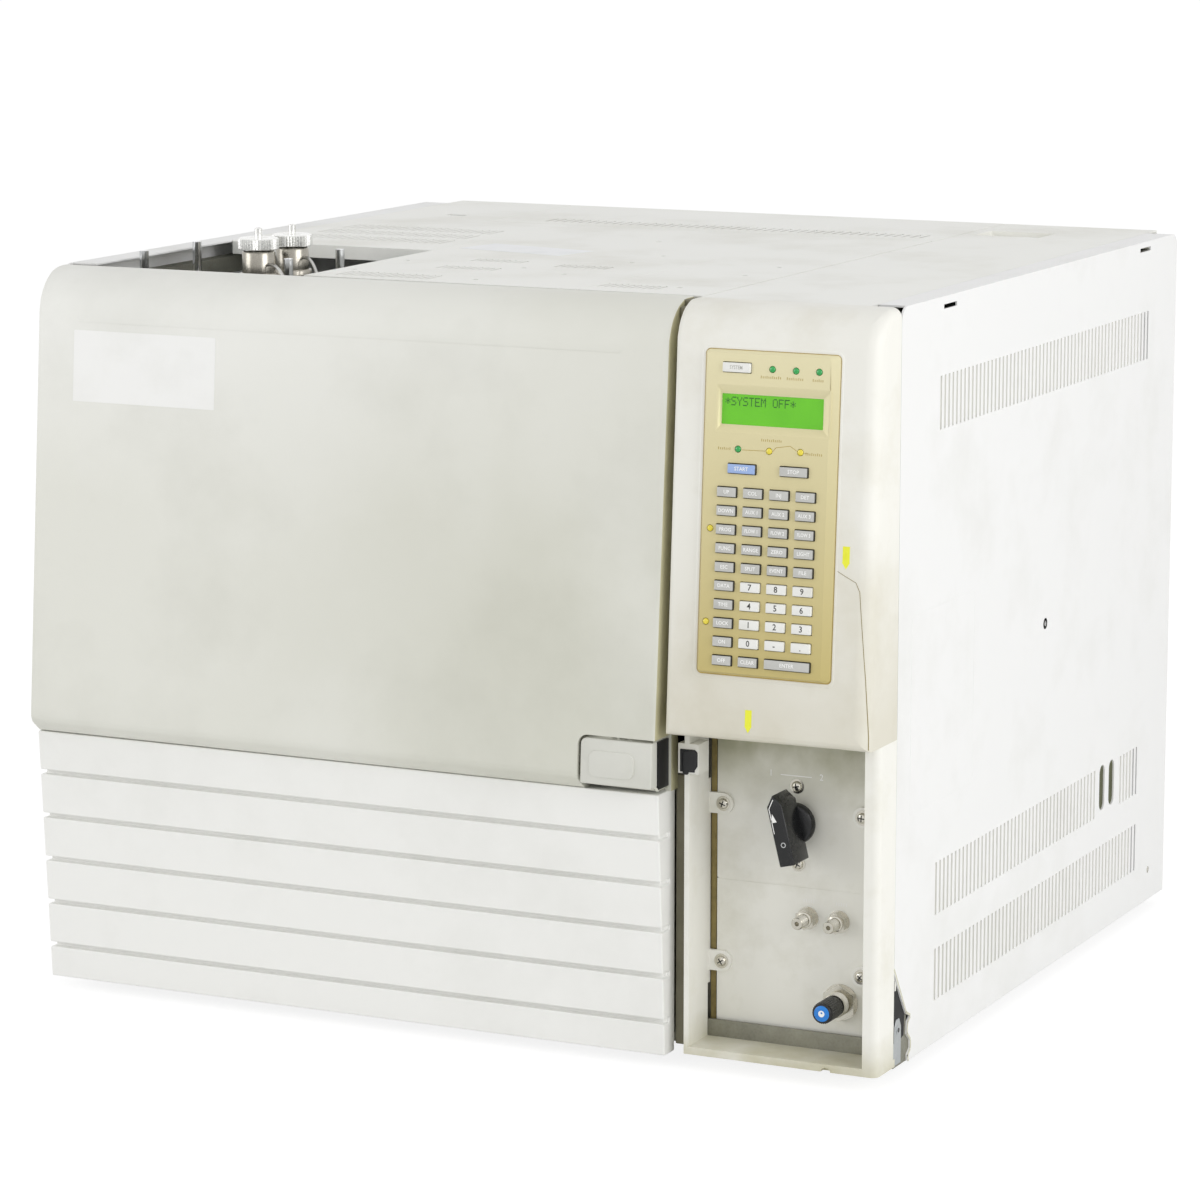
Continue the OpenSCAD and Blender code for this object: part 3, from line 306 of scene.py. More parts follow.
# Painted shade: the olive sheet behind the side's two wide openings.
gauze_olive = coated("olive_sheet_painted_shade", "#565840", "#484A34", 0.8, 0.02, 0.9, 12)
edge_bone = coated("broken_paint_edge_bone", "#CFCDB9", "#BDBAA2", 0.8, 0.02, 0.7, 6)
# Both: dust in the crack, and painted shade in the key holes and along the post edge.
seam_dust_and_shade = coated("seam_dust_and_painted_shade", "#8A7B4A", "#6E613C", 0.6, 0.02, 0.8, 8)

# %% [markdown]
# ## Inks, labels and foil
# Inks are matt and a little uneven, with next to no relief. Paper is rougher than a polyester
# label, and the foil of the arrows is a fluorescent yellow that looks brighter than any paint.

# %% Inks, labels and foil
ink_white = coated("printed_ink_white", "#F4F4F2", "#E8E8E6", 0.4, 0.001, 0.6, 2)
ink_black = coated("printed_ink_black", "#3A3A38", "#4C4C48", 0.4, 0.001, 0.6, 2)
ink_pale = coated("printed_ink_pale_grey", "#B8B8B2", "#C6C6C0", 0.4, 0.001, 0.6, 2)
ink_green = coated("display_dots_dark_green", "#2A6A1E", "#22581A", 0.4, 0.001, 0.4, 3)
ink_gold = coated("printed_ink_bronze", "#B09A55", "#C2AE6C", 0.4, 0.001, 0.6, 2)
label_pale = coated("polyester_label_pale", "#F2F2F0", "#EDEDEA", 0.8, 0.004, 0.35, 30)
label_white = coated("paper_label_white", "#F6F7F8", "#EEF0F1", 0.5, 0.01, 0.6, 20)
foil_yellow = coated("fluorescent_foil_yellow", "#EEF03C", "#E2E22A", 0.8, 0.004, 0.4, 6)

# %% [markdown]
# ## Knobs, nuts and lamps
# Knobs are glossy phenolic, nuts are nickel-plated brass, and nickel near the oven has been dulled
# by heat. Lamp lenses are coloured epoxy, so a clear coat gives them a clean second highlight.

# %% Knobs, nuts and lamps
gloss_black = coated("moulded_phenolic_black", "#141517", "#1D1E20", 1.0, 0.01, 0.24, 14)
cap_blue = coated("moulded_cap_blue", "#1F7FD6", "#1A6FC0", 0.6, 0.005, 0.3, 4)
nickel = metal("nickel_plated_brass", "#DAD7CD", "#C2BEB2", 0.22, 0.4, patch_mm=3)
heated_nickel = metal("nickel_plate_dulled_by_heat", "#B4B0A6", "#8F8B82", 0.26, 0.4, patch_mm=4)
# Painted shade: the dark gold of the gap round the keypad plate.
gold_edge_shade = coated("dark_gold_edge_painted_shade", "#C0A454", "#A88D3F", 0.6, 0.01, 0.4, 10)
lens_green = coated("lamp_epoxy_green", "#1EA64C", "#17924A", 0.5, 0.001, 0.15, 1.2)
lens_yellow = coated("lamp_epoxy_yellow", "#EBD93E", "#D9C42A", 0.5, 0.001, 0.15, 1.2)
for lens in (lens_green, lens_yellow):
    lens.node_tree.nodes["Principled BSDF"].inputs["Coat Weight"].default_value = 0.6

# %% [markdown]
# ## Basic shapes
# A bmesh is Blender's editable mesh in code. These helpers start from its own shapes: a block is a
# scaled cube, a bar is a cone with equal ends, and a prism is one flat face pushed out. Where a
# helper takes an axis, at or outline gives the other two coordinates in x, y, z order.

# %% Basic shapes
AXES = {"x": Matrix.Rotation(math.pi / 2, 4, "Y"), "y": Matrix.Rotation(-math.pi / 2, 4, "X"),
        "z": Matrix.Identity(4)}


def point_at(axis, along, at):
    """The point this far along an axis."""
    spot = "xyz".index(axis)
    return (*at[:spot], along, *at[spot:])


def block(bm, low, high):
    verts = bmesh.ops.create_cube(bm, size=1)["verts"]
    bmesh.ops.scale(bm, verts=verts, vec=[h - l for l, h in zip(low, high)])
    bmesh.ops.translate(bm, verts=verts, vec=[(h + l) / 2 for l, h in zip(low, high)])
    return verts


def bar(bm, axis, start, end, at, radius, sides):
    """Round bar along an axis."""
    verts = bmesh.ops.create_cone(bm, cap_ends=True, segments=sides, radius1=radius,
                                  radius2=radius, depth=end - start)["verts"]
    middle = Matrix.Translation(point_at(axis, (start + end) / 2, at))
    bmesh.ops.transform(bm, matrix=middle @ AXES[axis], verts=verts)


def prism(bm, outline, axis, start, end):
    """Flat outline pushed along an axis; gives back its points."""
    verts = [bm.verts.new(point_at(axis, start, spot)) for spot in outline]
    out = bmesh.ops.extrude_face_region(bm, geom=[bm.faces.new(verts)])["geom"]
    moved = [g for g in out if isinstance(g, bmesh.types.BMVert)]
    bmesh.ops.translate(bm, verts=moved, vec=point_at(axis, end - start, (0, 0)))
    return verts + moved


def rounded(x0, y0, x1, y1, r, steps=6):
    """Outline of a rectangle with round corners."""
    points = []
    for cx, cy, turn in ((x1 - r, y1 - r, 0), (x0 + r, y1 - r, 90), (x0 + r, y0 + r, 180),
                         (x1 - r, y0 + r, 270)):
        for i in range(steps + 1):
            a = math.radians(turn + 90 * i / steps)
            points.append((cx + r * math.cos(a), cy + r * math.sin(a)))
    return points


def ease(bm, width, segments=2, angle=30):
    """Rounds every edge sharper than the angle."""
    limit = math.radians(angle)
    sharp = [e for e in bm.edges if len(e.link_faces) == 2 and e.calc_face_angle() > limit]
    bmesh.ops.bevel(bm, geom=sharp, offset=width, offset_type="OFFSET", affect="EDGES",
                    segments=segments, profile=0.5, material=-1, clamp_overlap=True)

# %% [markdown]
# ## Turned shapes
# Caps, nuts and screw heads are turned on a lathe, so they are spun here: a row of points is swept
# once round an axis. The points of the last step fall on the first ones, and those on the axis
# fall together, so doubles are merged. Each shape is spun in a bmesh of its own and then taken in,
# because a spin that shares a bmesh could merge with its neighbours.

# %% Turned shapes
MERGE_MM = 0.0005


def take_in(bm, part):
    """Adds another bmesh to this one."""
    spare = bpy.data.meshes.new("spare")
    part.to_mesh(spare)
    part.free()
    bm.from_mesh(spare)
    bpy.data.meshes.remove(spare)


def lathe(bm, profile, axis, at, steps=48):
    """Turns (radius, height) points once round the axis."""
    part = bmesh.new()
    verts = [part.verts.new((r, 0, h)) for r, h in profile]
    edges = [part.edges.new(pair) for pair in zip(verts, verts[1:])]
    bmesh.ops.spin(part, geom=verts + edges, cent=(0, 0, 0), axis=(0, 0, 1), angle=2 * math.pi,
                   steps=steps, use_merge=True)
    bmesh.ops.remove_doubles(part, verts=part.verts, dist=MERGE_MM)
    bmesh.ops.recalc_face_normals(part, faces=part.faces)
    part.transform(Matrix.Translation(point_at(axis, 0, at)) @ AXES[axis])
    take_in(bm, part)

# %% [markdown]
# ## Finishing a piece
# Shapes are drawn in millimetres and scaled to metres at the end. A finished piece sits at the
# origin with its place in its mesh, rides on its body, and names its material slot. A live bevel
# rounds its sharp edges, which is easier to change later than edges that are cut into the mesh.

# %% Finishing a piece


def mesh_in_metres(bm, name, outward=True):
    """Turns a bmesh in millimetres into a mesh in metres."""
    bmesh.ops.scale(bm, verts=bm.verts, vec=(MM, MM, MM))
    if outward:
        bmesh.ops.recalc_face_normals(bm, faces=bm.faces)
    data = bpy.data.meshes.new(name)
    bm.to_mesh(data)
    bm.free()
    return data


def live_bevel(made, width_mm, segments, angle):
    """Rounds every edge sharper than the angle when the piece is drawn or exported."""
    bevel = made.modifiers.new("edge", "BEVEL")
    bevel.width = width_mm * MM
    bevel.segments = segments
    bevel.limit_method = "ANGLE"
    bevel.angle_limit = math.radians(angle)
    bevel.harden_normals = True


def finish(name, bm, materials, body, stands_for=(), soften_mm=0, segments=2, smooth=35,
           place=None):
    """Makes the object: in metres, shaded smooth, bevelled, on its body and in its slot."""
    if place is not None:
        bm.transform(place)
    data = mesh_in_metres(bm, name)
    data.shade_smooth()
    data.set_sharp_from_angle(angle=math.radians(smooth))
    for material in materials if isinstance(materials, list) else [materials]:
        data.materials.append(material)
    made = place_object(name, data)
    if soften_mm:
        live_bevel(made, soften_mm, segments, 40)
    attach(made, body)
    if stands_for:
        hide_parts(*stands_for)
    print("made", name, "with", len(data.polygons), "faces")

# %% [markdown]
# ## Sheet metal and inner parts
# A folded or cut sheet never has a razor edge: the coating rounds it to 0.2 to 0.4 mm. These
# solids already have the right shape, so each one is copied, its triangles are merged into whole
# faces, and a narrow bevel catches the light along its edges. What is deep inside keeps its solid
# and gets its finish only.

# %% Sheet metal and inner parts
WELD_MM = 0.002
FLAT_DEGREES = 0.6


def merged_copy(node):
    """A solid's mesh in millimetres, its loose triangles joined into whole faces."""
    bm = bmesh.new()
    bm.from_mesh(SOLIDS[node].data)
    bmesh.ops.scale(bm, verts=bm.verts, vec=(1 / MM, 1 / MM, 1 / MM))
    bmesh.ops.remove_doubles(bm, verts=bm.verts, dist=WELD_MM)
    bmesh.ops.dissolve_limit(bm, angle_limit=math.radians(FLAT_DEGREES), verts=bm.verts,
                             edges=bm.edges)
    return bm


def eased_copy(node, material, soften_mm, segments=2, name=None, bm=None):
    """A solid, or the bmesh made from it, with its edges rounded as real ones are."""
    if bm is None:
        bm = merged_copy(node)
    finish(name or node + "_eased", bm, material, BODY_OF[node], [node], soften_mm,
           segments)


FINISH_ONLY = {
    "base_pan": olive_grey_zinc, "rubber_feet": rubber, "chassis_frame": olive_grey_zinc, "hinge_pins": chrome,
    "oven_casing": zinc, "oven_insulation": fibre, "oven_liner": stainless,
    "fan_motor": dark_sheet, "fan_wheel": stainless, "fan_baffle": stainless,
    "heater_coil": oxidised, "capillary_column": silica, "oven_vent_flaps": zinc,
    "flap_motor": dark_sheet, "injector_bodies": turned, "lid_studs": chrome,
    "detectors": turned, "electronics_fan": black_abs, "fan_frame": black_abs,
    "power_supply": zinc, "main_board": solder_mask, "mains_inlet": black_abs,
    "power_switch": black_abs, "gas_bulkheads": brass, "display_board": solder_mask,
    "selector_valve": stainless, "door_pan": shadow_grey,
    "door_insulation": fibre, "door_liner": stainless, "latch_body": black_abs}
for node_name, finish_of in FINISH_ONLY.items():
    SOLIDS[node_name].data.materials.clear()
    SOLIDS[node_name].data.materials.append(finish_of)

EASED = {"left_side_panel": (side_enamel, 0.4), "right_side_panel": (side_enamel, 0.4),
         "rear_panel": (cover_enamel, 0.3), "centre_cover": (cover_enamel, 0.4),
         "detector_cover": (cover_enamel, 0.4), "rear_left_cover": (cover_enamel, 0.4),
         "rear_centre_cover": (cover_enamel, 0.4), "right_top_cover": (cover_enamel, 0.4),
         "valve_panel": (panel_enamel, 0.3),
         "door_lower_cover": (low_abs, 0.8), "latch_keeper": (black_abs, 0.3)}
for node_name, (finish_of, width) in EASED.items():
    eased_copy(node_name, finish_of, width, 3 if width > 0.5 else 2)
print("finished in place:", len(FINISH_ONLY), "solids")

# %% [markdown]
# ## Valve bay frame
# The frame round the valve bay is moulded with the column's soft corner: its right front edge is a
# wide quarter round that runs from top to bottom. That one edge is bevelled in the mesh, because a
# live bevel gives every edge the same width, and the live one then softens the rest.

# %% Valve bay frame
BAY_CORNER = 4.5
bm = merged_copy("bay_frame")
bay_low, bay_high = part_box("bay_frame")
corner_edges = [edge for edge in bm.edges
                if all(v.co.x > bay_high[0] / MM - 0.1 and v.co.y < bay_low[1] / MM + 0.1
                       for v in edge.verts)]
bmesh.ops.bevel(bm, geom=corner_edges, offset=BAY_CORNER, segments=6, profile=0.5, affect="EDGES",
                material=-1)
eased_copy("bay_frame", bay_abs, 0.6, 3, "bay_frame_rounded", bm)

# %% [markdown]
# ## The keypad's own frame of reference
# The column's front leans back a little, so its pieces are easier to place on a flat drawing: x
# across, z up the face, and -y outward. One matrix carries that drawing onto the real face.

# %% The keypad's own frame of reference
CABINET_TOP = 440
COLUMN_FOOT_Y, COLUMN_FOOT_Z = -262.3, 198.5
COLUMN_SLOPE = 0.0636
LEAN = math.atan(COLUMN_SLOPE)
FACE = Matrix.Translation((0, COLUMN_FOOT_Y, COLUMN_FOOT_Z)) @ Matrix.Rotation(-LEAN, 4, "X")
print("the column leans back by", round(math.degrees(LEAN), 2), "degrees")

# %% [markdown]
# ## Moulded fronts
# The door's upper cover and the keypad column are thick mouldings with soft edges, and they are
# the first thing that the eye meets. Each is drawn as a set of loops. The first loop runs round
# the outside, and every next one steps inwards, like contour lines on a map. The depth of a point
# comes from its height, through the side profile, and from how near it lies to a flank, through
# that flank's edge radius. A solidify modifier then gives the skin its wall.

# %% Moulded fronts
CORNER_STEPS = 12
RISES = (0, 0.006, 0.012, 0.018, 0.024, 0.036, 0.06, 0.3, 0.6, 0.9, 0.925, 0.95, 0.965, 0.98,
         0.99, 1)


def loft(bm, rings):
    """Faces between each loop of points and the next."""
    for outer, inner in zip(rings, rings[1:]):
        for i in range(len(outer)):
            j = (i + 1) % len(outer)
            bm.faces.new((outer[i], outer[j], inner[j], inner[i]))


def face_outward(bm):
    """Turns an open skin so that its widest face looks to the front."""
    bmesh.ops.recalc_face_normals(bm, faces=bm.faces)
    bm.faces.ensure_lookup_table()
    if max(bm.faces, key=lambda f: f.calc_area()).normal.y > 0:
        bmesh.ops.reverse_faces(bm, faces=bm.faces)


def edge_drop(inset, radius):
    """How far a rounded edge falls back, this far in from the flank."""
    left = max(radius - inset, 0)
    return radius - math.sqrt(radius * radius - left * left)


def moulded_skin(x0, x1, z0, z1, corners, profile, rear, radii, insets):
    """Skin of a moulded front; profile(z) and rear(x, z) give y, pairs are left and right."""
    bm = bmesh.new()

    def loop(inset, at_rear):
        ra, rb = (max(corner - inset, 0.6) for corner in corners)
        low, high, left, right = z0 + inset, z1 - inset, x0 + inset, x1 - inset
        spots = [(left, low + (high - ra - low) * t, -1.0) for t in RISES]
        for i in range(1, CORNER_STEPS + 1):
            a = math.radians(180 - 90 * i / CORNER_STEPS)
            spots.append((left + ra + ra * math.cos(a), high - ra + ra * math.sin(a), math.cos(a)))
        for i in range(CORNER_STEPS):
            a = math.radians(90 - 90 * i / CORNER_STEPS)
            spots.append((right - rb + rb * math.cos(a), high - rb + rb * math.sin(a), math.cos(a)))
        spots += [(right, low + (high - rb - low) * t, 1.0) for t in reversed(RISES)]
        verts = []
        for x, z, nx in spots:
            drop = edge_drop(inset, radii[0] if nx < 0 else radii[1]) * nx * nx
            verts.append(bm.verts.new((x, rear(x, z) if at_rear else profile(z) + drop, z)))
        return verts

    loops = [loop(0, True)] + [loop(inset, False) for inset in insets]
    loft(bm, loops)
    bm.faces.new(loops[-1])
    face_outward(bm)
    return bm

# %% [markdown]
# ## Wall and openings of a front
# The skin has no thickness yet. A solidify modifier gives it a wall, and a boolean takes each
# cutter out of it. Both are applied at once, because the cutter is removed afterwards. The right
# flank of the door faces the deep gap, so its faces get a dark olive finish of their own: painted
# shade.

# %% Wall and openings of a front
SHARP_ANGLE = 32


def skin_piece(name, bm, material, body, node, wall_mm, cutter, soften_mm, flank=None):
    """Gives a skin its wall, takes the cutter out of it, and paints shade on its right flank."""
    made = place_object(name, mesh_in_metres(bm, name, outward=False))
    wall = made.modifiers.new("wall", "SOLIDIFY")
    wall.thickness = wall_mm * MM
    wall.offset = -1
    tool = place_object(name + "_cutter", mesh_in_metres(cutter, name + "_cutter"))
    cut = made.modifiers.new("cut", "BOOLEAN")
    cut.operation = "DIFFERENCE"
    cut.solver = "EXACT"
    cut.object = tool
    graph = bpy.context.evaluated_depsgraph_get()
    solid = bpy.data.meshes.new_from_object(made.evaluated_get(graph))
    made.modifiers.clear()
    made.data = solid
    bpy.data.objects.remove(tool)
    solid.shade_smooth()
    solid.set_sharp_from_angle(angle=math.radians(SHARP_ANGLE))
    solid.materials.clear()
    solid.materials.append(material)
    if flank:
        solid.materials.append(flank)
        widest = max(face.center.x for face in solid.polygons)
        for face in solid.polygons:
            face.material_index = int(face.normal.x > 0.8 and face.center.x > widest - MM)
    live_bevel(made, soften_mm, 2, 50)
    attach(made, body)
    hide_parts(node)
    print("made", name, "with", len(solid.polygons), "faces")

# %% [markdown]
# ## Side profiles
# Both fronts have the same kind of side view: a foot that tucks in, a plane that leans back, and a
# round edge at the top that meets the plane without a kink. One function builds such a profile.

# %% Side profiles


def leaning(y, z_from, lean, z_top, radius, low_points):
    """Side profile: a tucked-in foot, a leaning plane, and a round top edge."""
    slope = math.sqrt(1 + lean * lean)
    centre_z = z_top - radius
    centre_y = y + (centre_z - z_from) * lean + radius * slope

    def profile(z):
        for (za, ya), (zb, yb) in zip(low_points, low_points[1:]):
            if z < zb:
                return ya + (yb - ya) * (z - za) / (zb - za)
        plane = y + (z - z_from) * lean
        if z <= centre_z - radius * lean / slope:
            return plane
        up = min(max(z - centre_z, -radius), radius)
        return centre_y - math.sqrt(max(radius * radius - up * up, 0))
    return profile

# %% [markdown]
# ## Door's upper cover
# The cover reaches a little further right than its solid, as far as the gap to the column allows.
# Its rear rests on the door's lower parts, and a notch with one round corner makes room for the
# handle. A cutter is simpler here than loops that would have to bend round the notch.

# %% Door's upper cover
DOOR_FRONT_Y = -266.0
DOOR_GROWTH = 1.6
DOOR_FOOT = ((162, -255.9), (164, -258.3), (166, -260.9), (168.1, -263.5), (169.6, -265.0),
             (171.5, -265.95), (174, DOOR_FRONT_Y))
door_low, door_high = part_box("door_upper_cover")
DOOR_X = (door_low[0] / MM, door_high[0] / MM + DOOR_GROWTH)
door_profile = leaning(-266.2, 171, 0.0793, CABINET_TOP, 28, DOOR_FOOT)


def door_rear(x, z):
    """The rear edge steps back at the top, where the cover wraps over the door."""
    if z < 424:
        return -233.0
    return -219.5 if x < -240 else -213.2


bm = moulded_skin(*DOOR_X, DOOR_FOOT[0][0], CABINET_TOP, (4, 1.2), door_profile, door_rear,
                  (4.0, 1.8), (0, 0.3, 0.9, 1.8, 3, 4.5, 6, 7.5, 9, 12, 16, 20, 24, 28.2, 30))
NOTCH_X, NOTCH_Z, NOTCH_R = 95.4, 195, 6
notch = bmesh.new()
prism(notch, [(NOTCH_X, 150), (160, 150), (160, NOTCH_Z)]
      + [(NOTCH_X + NOTCH_R + NOTCH_R * math.cos(math.radians(a)),
          NOTCH_Z - NOTCH_R + NOTCH_R * math.sin(math.radians(a))) for a in range(90, 181, 10)],
      "y", -290, -241.9)
skin_piece("door_cover_shell", bm, door_abs, "door", "door_upper_cover", 2.8, notch,
           0.5, flank_shade_abs)

# %% [markdown]
# ## Keypad column
# The column's right edge is much rounder than its left, which hides in the gap beside the door. Its
# window takes the keypad panel.

# %% Keypad column
COLUMN_X = (147.9, 270.0)
COLUMN_EDGE = 8.5
column_profile = leaning(COLUMN_FOOT_Y, COLUMN_FOOT_Z, COLUMN_SLOPE, CABINET_TOP, 24, (
    (COLUMN_FOOT_Z, -261.3), (198.8, -261.8), (199.5, -262.2), (200.5, -262.17)))
bm = moulded_skin(*COLUMN_X, COLUMN_FOOT_Z, CABINET_TOP, (1.5, 6), column_profile,
                  lambda x, z: -217.5, (3.2, COLUMN_EDGE),
                  (0, 0.25, 0.7, 1.4, 2.4, 3.6, 4.6, 6, 7.4, 8.6, 11, 14, 17, 20.5, 24.5, 26))
window = bmesh.new()
block(window, (170.4, -9, 40.5), (244.5, 20, 214.6))
window.transform(FACE)
skin_piece("column_shell", bm, column_abs, "cabinet", "keypad_housing", 2.8, window,
           0.4)

# %% [markdown]
# ## Lacquer of the keypad panel
# The panel is an aluminium plate under a satin champagne lacquer. It looks paler at the top, where
# it catches the light, and olive towards the bottom, so a ramp gives its colour by height.

# %% Lacquer of the keypad panel
gold, tree, shader, where = new_material("lacquered_aluminium_champagne", Metallic=0.2,
                                         Roughness=0.4)
height = add(tree, "ShaderNodeSeparateXYZ", {"Vector": where})
rise = add(tree, "ShaderNodeMapRange", {
    "Value": height.outputs["Z"], "From Min": 0.235, "From Max": 0.415})
ramp = add(tree, "ShaderNodeValToRGB", {"Fac": rise.outputs["Result"]})
ramp.color_ramp.elements[0].color = tone("#C3B374")
ramp.color_ramp.elements[1].color = tone("#E3DBB4")
tree.links.new(ramp.outputs["Color"], shader.inputs["Base Color"])
satin = add(tree, "ShaderNodeTexNoise", {"Vector": where, "Scale": per(0.8), "Detail": 2})
bump = add(tree, "ShaderNodeBump", {
    "Height": satin.outputs["Fac"], "Strength": 1.0, "Distance": 0.01 * MM})
tree.links.new(bump.outputs["Normal"], shader.inputs["Normal"])

# %% [markdown]
# ## Layout of the keypad
# The small keys stand on a grid of four columns and ten rows, and the other keys, the lamps and the
# display have places of their own. Everything is given on the flat drawing, as centres and sizes.

# %% Layout of the keypad
PLATE = (167.4, 37.5, 247.5, 217.6)
PLATE_Y = -3.0
KEY_X, KEY_Z = 183.3, 139.3
KEY_DX, KEY_DZ = 15.7, 10.41
KEY_W, KEY_H = 11.5, 5.3
GLASS = (177.3, 176.5, 238.0, 193.4)
BEZEL = (174.9, 172.2, 243.6, 198.6)
LAMPS = {"green": [(208.1, 208.2), (222.1, 208.1), (235.9, 208.2), (188.9, 163.3)],
         "yellow": [(207.6, 163.2), (226.2, 163.7), (173.6, 118.6), (172.7, 66.6)]}


def centred(x, z, w, h, grow=0.0):
    return (x - w / 2 - grow, z - h / 2 - grow, x + w / 2 + grow, z + h / 2 + grow)


KEYS = {"system_key": [(187, 208.2, 16.6, 5.2)], "start_key": [(191.8, 152.5, 16.6, 5.2)],
        "stop_key": [(222.9, 152.7, 16.6, 5.2)],
        "enter_key": [(222.6, KEY_Z - 9 * KEY_DZ, 27.2, 5.3)]}
grid = {(c, r): (KEY_X + c * KEY_DX, KEY_Z - r * KEY_DZ, KEY_W, KEY_H)
        for r in range(10) for c in range(4)}
KEYS["function_keys"] = [grid[c, r] for r in range(5) for c in range(4)] + [
    grid[0, r] for r in range(5, 9)]
KEYS["number_keys"] = [grid[c, r] for r in range(5, 9) for c in range(1, 4)]
KEYS["command_keys"] = [grid[0, 9], grid[1, 9]]
print("keys", sum(len(keys) for keys in KEYS.values()), "lamps", sum(map(len, LAMPS.values())))

# %% [markdown]
# ## Gold keypad panel
# The plate's edge rises steeply and then slopes in, over 5 mm on the right. The front is one flat
# face with a hole for every key, lamp and the display, and each hole has its own walls. Filling
# the face between all the rims at once is quicker and cleaner than fifty boolean cuts.

# %% Gold keypad panel


def ring_of(outline, bm, y):
    return [bm.verts.new((x, y, z)) for x, z in outline]


def edges_of(bm, ring):
    """The edges that run round a loop of points."""
    return [bm.edges.get(pair) for pair in zip(ring, ring[1:] + ring[:1])]


def plate_outline(left, low, right, high, radius):
    """Outline of the plate, moved in by these amounts, or out where they are negative."""
    return rounded(PLATE[0] + left, PLATE[1] + low, PLATE[2] - right, PLATE[3] - high, radius)


bm = bmesh.new()
skirt = ring_of(plate_outline(0, 0, 0, 0, 2.4), bm, 0.0)
edge = ring_of(plate_outline(0.1, 0.1, 0.1, 0.1, 2.4), bm, -0.9)
brow = ring_of(plate_outline(1.6, 1.4, 5, 1.6, 1.6), bm, PLATE_Y)
loft(bm, (skirt, edge, brow))
rims = edges_of(bm, brow)
holes = [rounded(*centred(*key, 0.45), 0.5, 2) for keys in KEYS.values() for key in keys]
LAMP_HOLE = 2.0
holes += [[(x + LAMP_HOLE * math.cos(i * math.pi / 8), z + LAMP_HOLE * math.sin(i * math.pi / 8))
           for i in range(16)] for spots in LAMPS.values() for x, z in spots]
holes.append(rounded(*BEZEL, 1.2, 3))
for outline in holes:
    front_ring = ring_of(outline, bm, PLATE_Y)
    rear_ring = ring_of(outline, bm, -0.2)
    loft(bm, (front_ring, rear_ring))
    rims += edges_of(bm, front_ring)
bmesh.ops.triangle_fill(bm, edges=rims, use_beauty=True, use_dissolve=False)
face_outward(bm)
print("plate holes", len(holes))
finish("gold_plate", bm, gold, "cabinet", ["keypad_panel"], place=FACE, smooth=20)

# %% [markdown]
# ## Edges round the panel
# A brown floor under the key holes paints the shade in the gaps round the keys, a dark gold line of
# painted shade runs where the plate meets the column, and the column's window has a low moulded rim
# round it.

# %% Edges round the panel
bm = bmesh.new()
# Painted shade: a brown floor seen through the gaps round the keys.
block(bm, (168.5, -0.45, 38.5), (245.5, -0.2, BEZEL[1] + 1))
block(bm, (168.5, -0.45, BEZEL[3] - 1), (245.5, -0.2, 216.5))
finish("key_well_painted_shade", bm, seam_dust_and_shade, "cabinet", place=FACE)

bm = bmesh.new()
outer = ring_of(plate_outline(-0.55, -0.55, -0.3, -0.3, 2.8), bm, -0.03)
inner = ring_of(plate_outline(1.3, 0.3, 0.9, 0.3, 2.2), bm, -0.03)
loft(bm, (outer, inner))
low_outer = ring_of(plate_outline(-0.55, -0.55, -0.3, -0.3, 2.8), bm, 0.3)
loft(bm, (low_outer, outer))
finish("plate_shadow_gap", bm, gold_edge_shade, "cabinet", place=FACE)

bm = bmesh.new()
RIM = ((-3.2, -3.4, -2.2, -2.4, 5, 0.15), (-2.0, -2.1, -1.2, -1.3, 4.2, -0.55),
       (-0.7, -0.7, -0.4, -0.4, 3, -0.3), (-0.7, -0.7, -0.4, -0.4, 3, 0.3))
loft(bm, [ring_of(plate_outline(*moves), bm, y) for *moves, y in RIM])
finish("column_rim", bm, column_abs, "cabinet", place=FACE, smooth=60)

# %% [markdown]
# ## Keys
# Each grey or blue key has a coloured front face and dark sides, so its upper and right sides look
# dark: painted shade. The number keys and the SYSTEM key are moulded white right through.

# %% Keys
KEY_Y = -4.5


def key_set(node, front, sides):
    """All keys of one node, bevelled in the mesh so that the two finishes meet on the bevel."""
    bm = bmesh.new()
    for spec in KEYS[node]:
        left, low, right, high = centred(*spec)
        block(bm, (left, KEY_Y, low), (right, 5.5, high))
    ease(bm, 0.4)
    for face in bm.faces:
        face.material_index = 0 if face.normal.y < -0.75 else 1
    finish(node + "_caps", bm, [front, sides], BODY_OF[node], [node], place=FACE,
           smooth=50)


key_set("system_key", white_abs, white_abs)
key_set("number_keys", white_abs, white_abs)
key_set("start_key", blue_abs, key_side_shade)
for node_name in ("stop_key", "function_keys", "command_keys", "enter_key"):
    key_set(node_name, grey_abs, key_side_shade)

# %% [markdown]
# ## Legends
# The legends are thin ink, in plain words and figures about 2 mm high. Text starts as a font curve,
# is made a mesh, and is then stood upright and pushed out a hair, so that it prints on the key.

# %% Legends


def letters(bm, text, x, y, z, size, narrow, bold):
    """Flat letters on a face that looks to -y, centred at x, z."""
    curve = bpy.data.curves.new("legend", "FONT")
    curve.body = text
    curve.size = size
    curve.align_x = "CENTER"
    curve.align_y = "CENTER"
    curve.resolution_u = 2
    curve.offset = bold
    holder = place_object("legend", curve)
    graph = bpy.context.evaluated_depsgraph_get()
    flat = bpy.data.meshes.new_from_object(holder.evaluated_get(graph))
    start = len(bm.verts)
    bm.from_mesh(flat)
    bm.verts.ensure_lookup_table()
    made = bm.verts[start:]
    stand = Matrix(((narrow, 0, 0, x), (0, 0, -1, y), (0, 1, 0, z), (0, 0, 0, 1)))
    bmesh.ops.transform(bm, matrix=stand, verts=made)
    bpy.data.objects.remove(holder)
    bpy.data.curves.remove(curve)
    bpy.data.meshes.remove(flat)


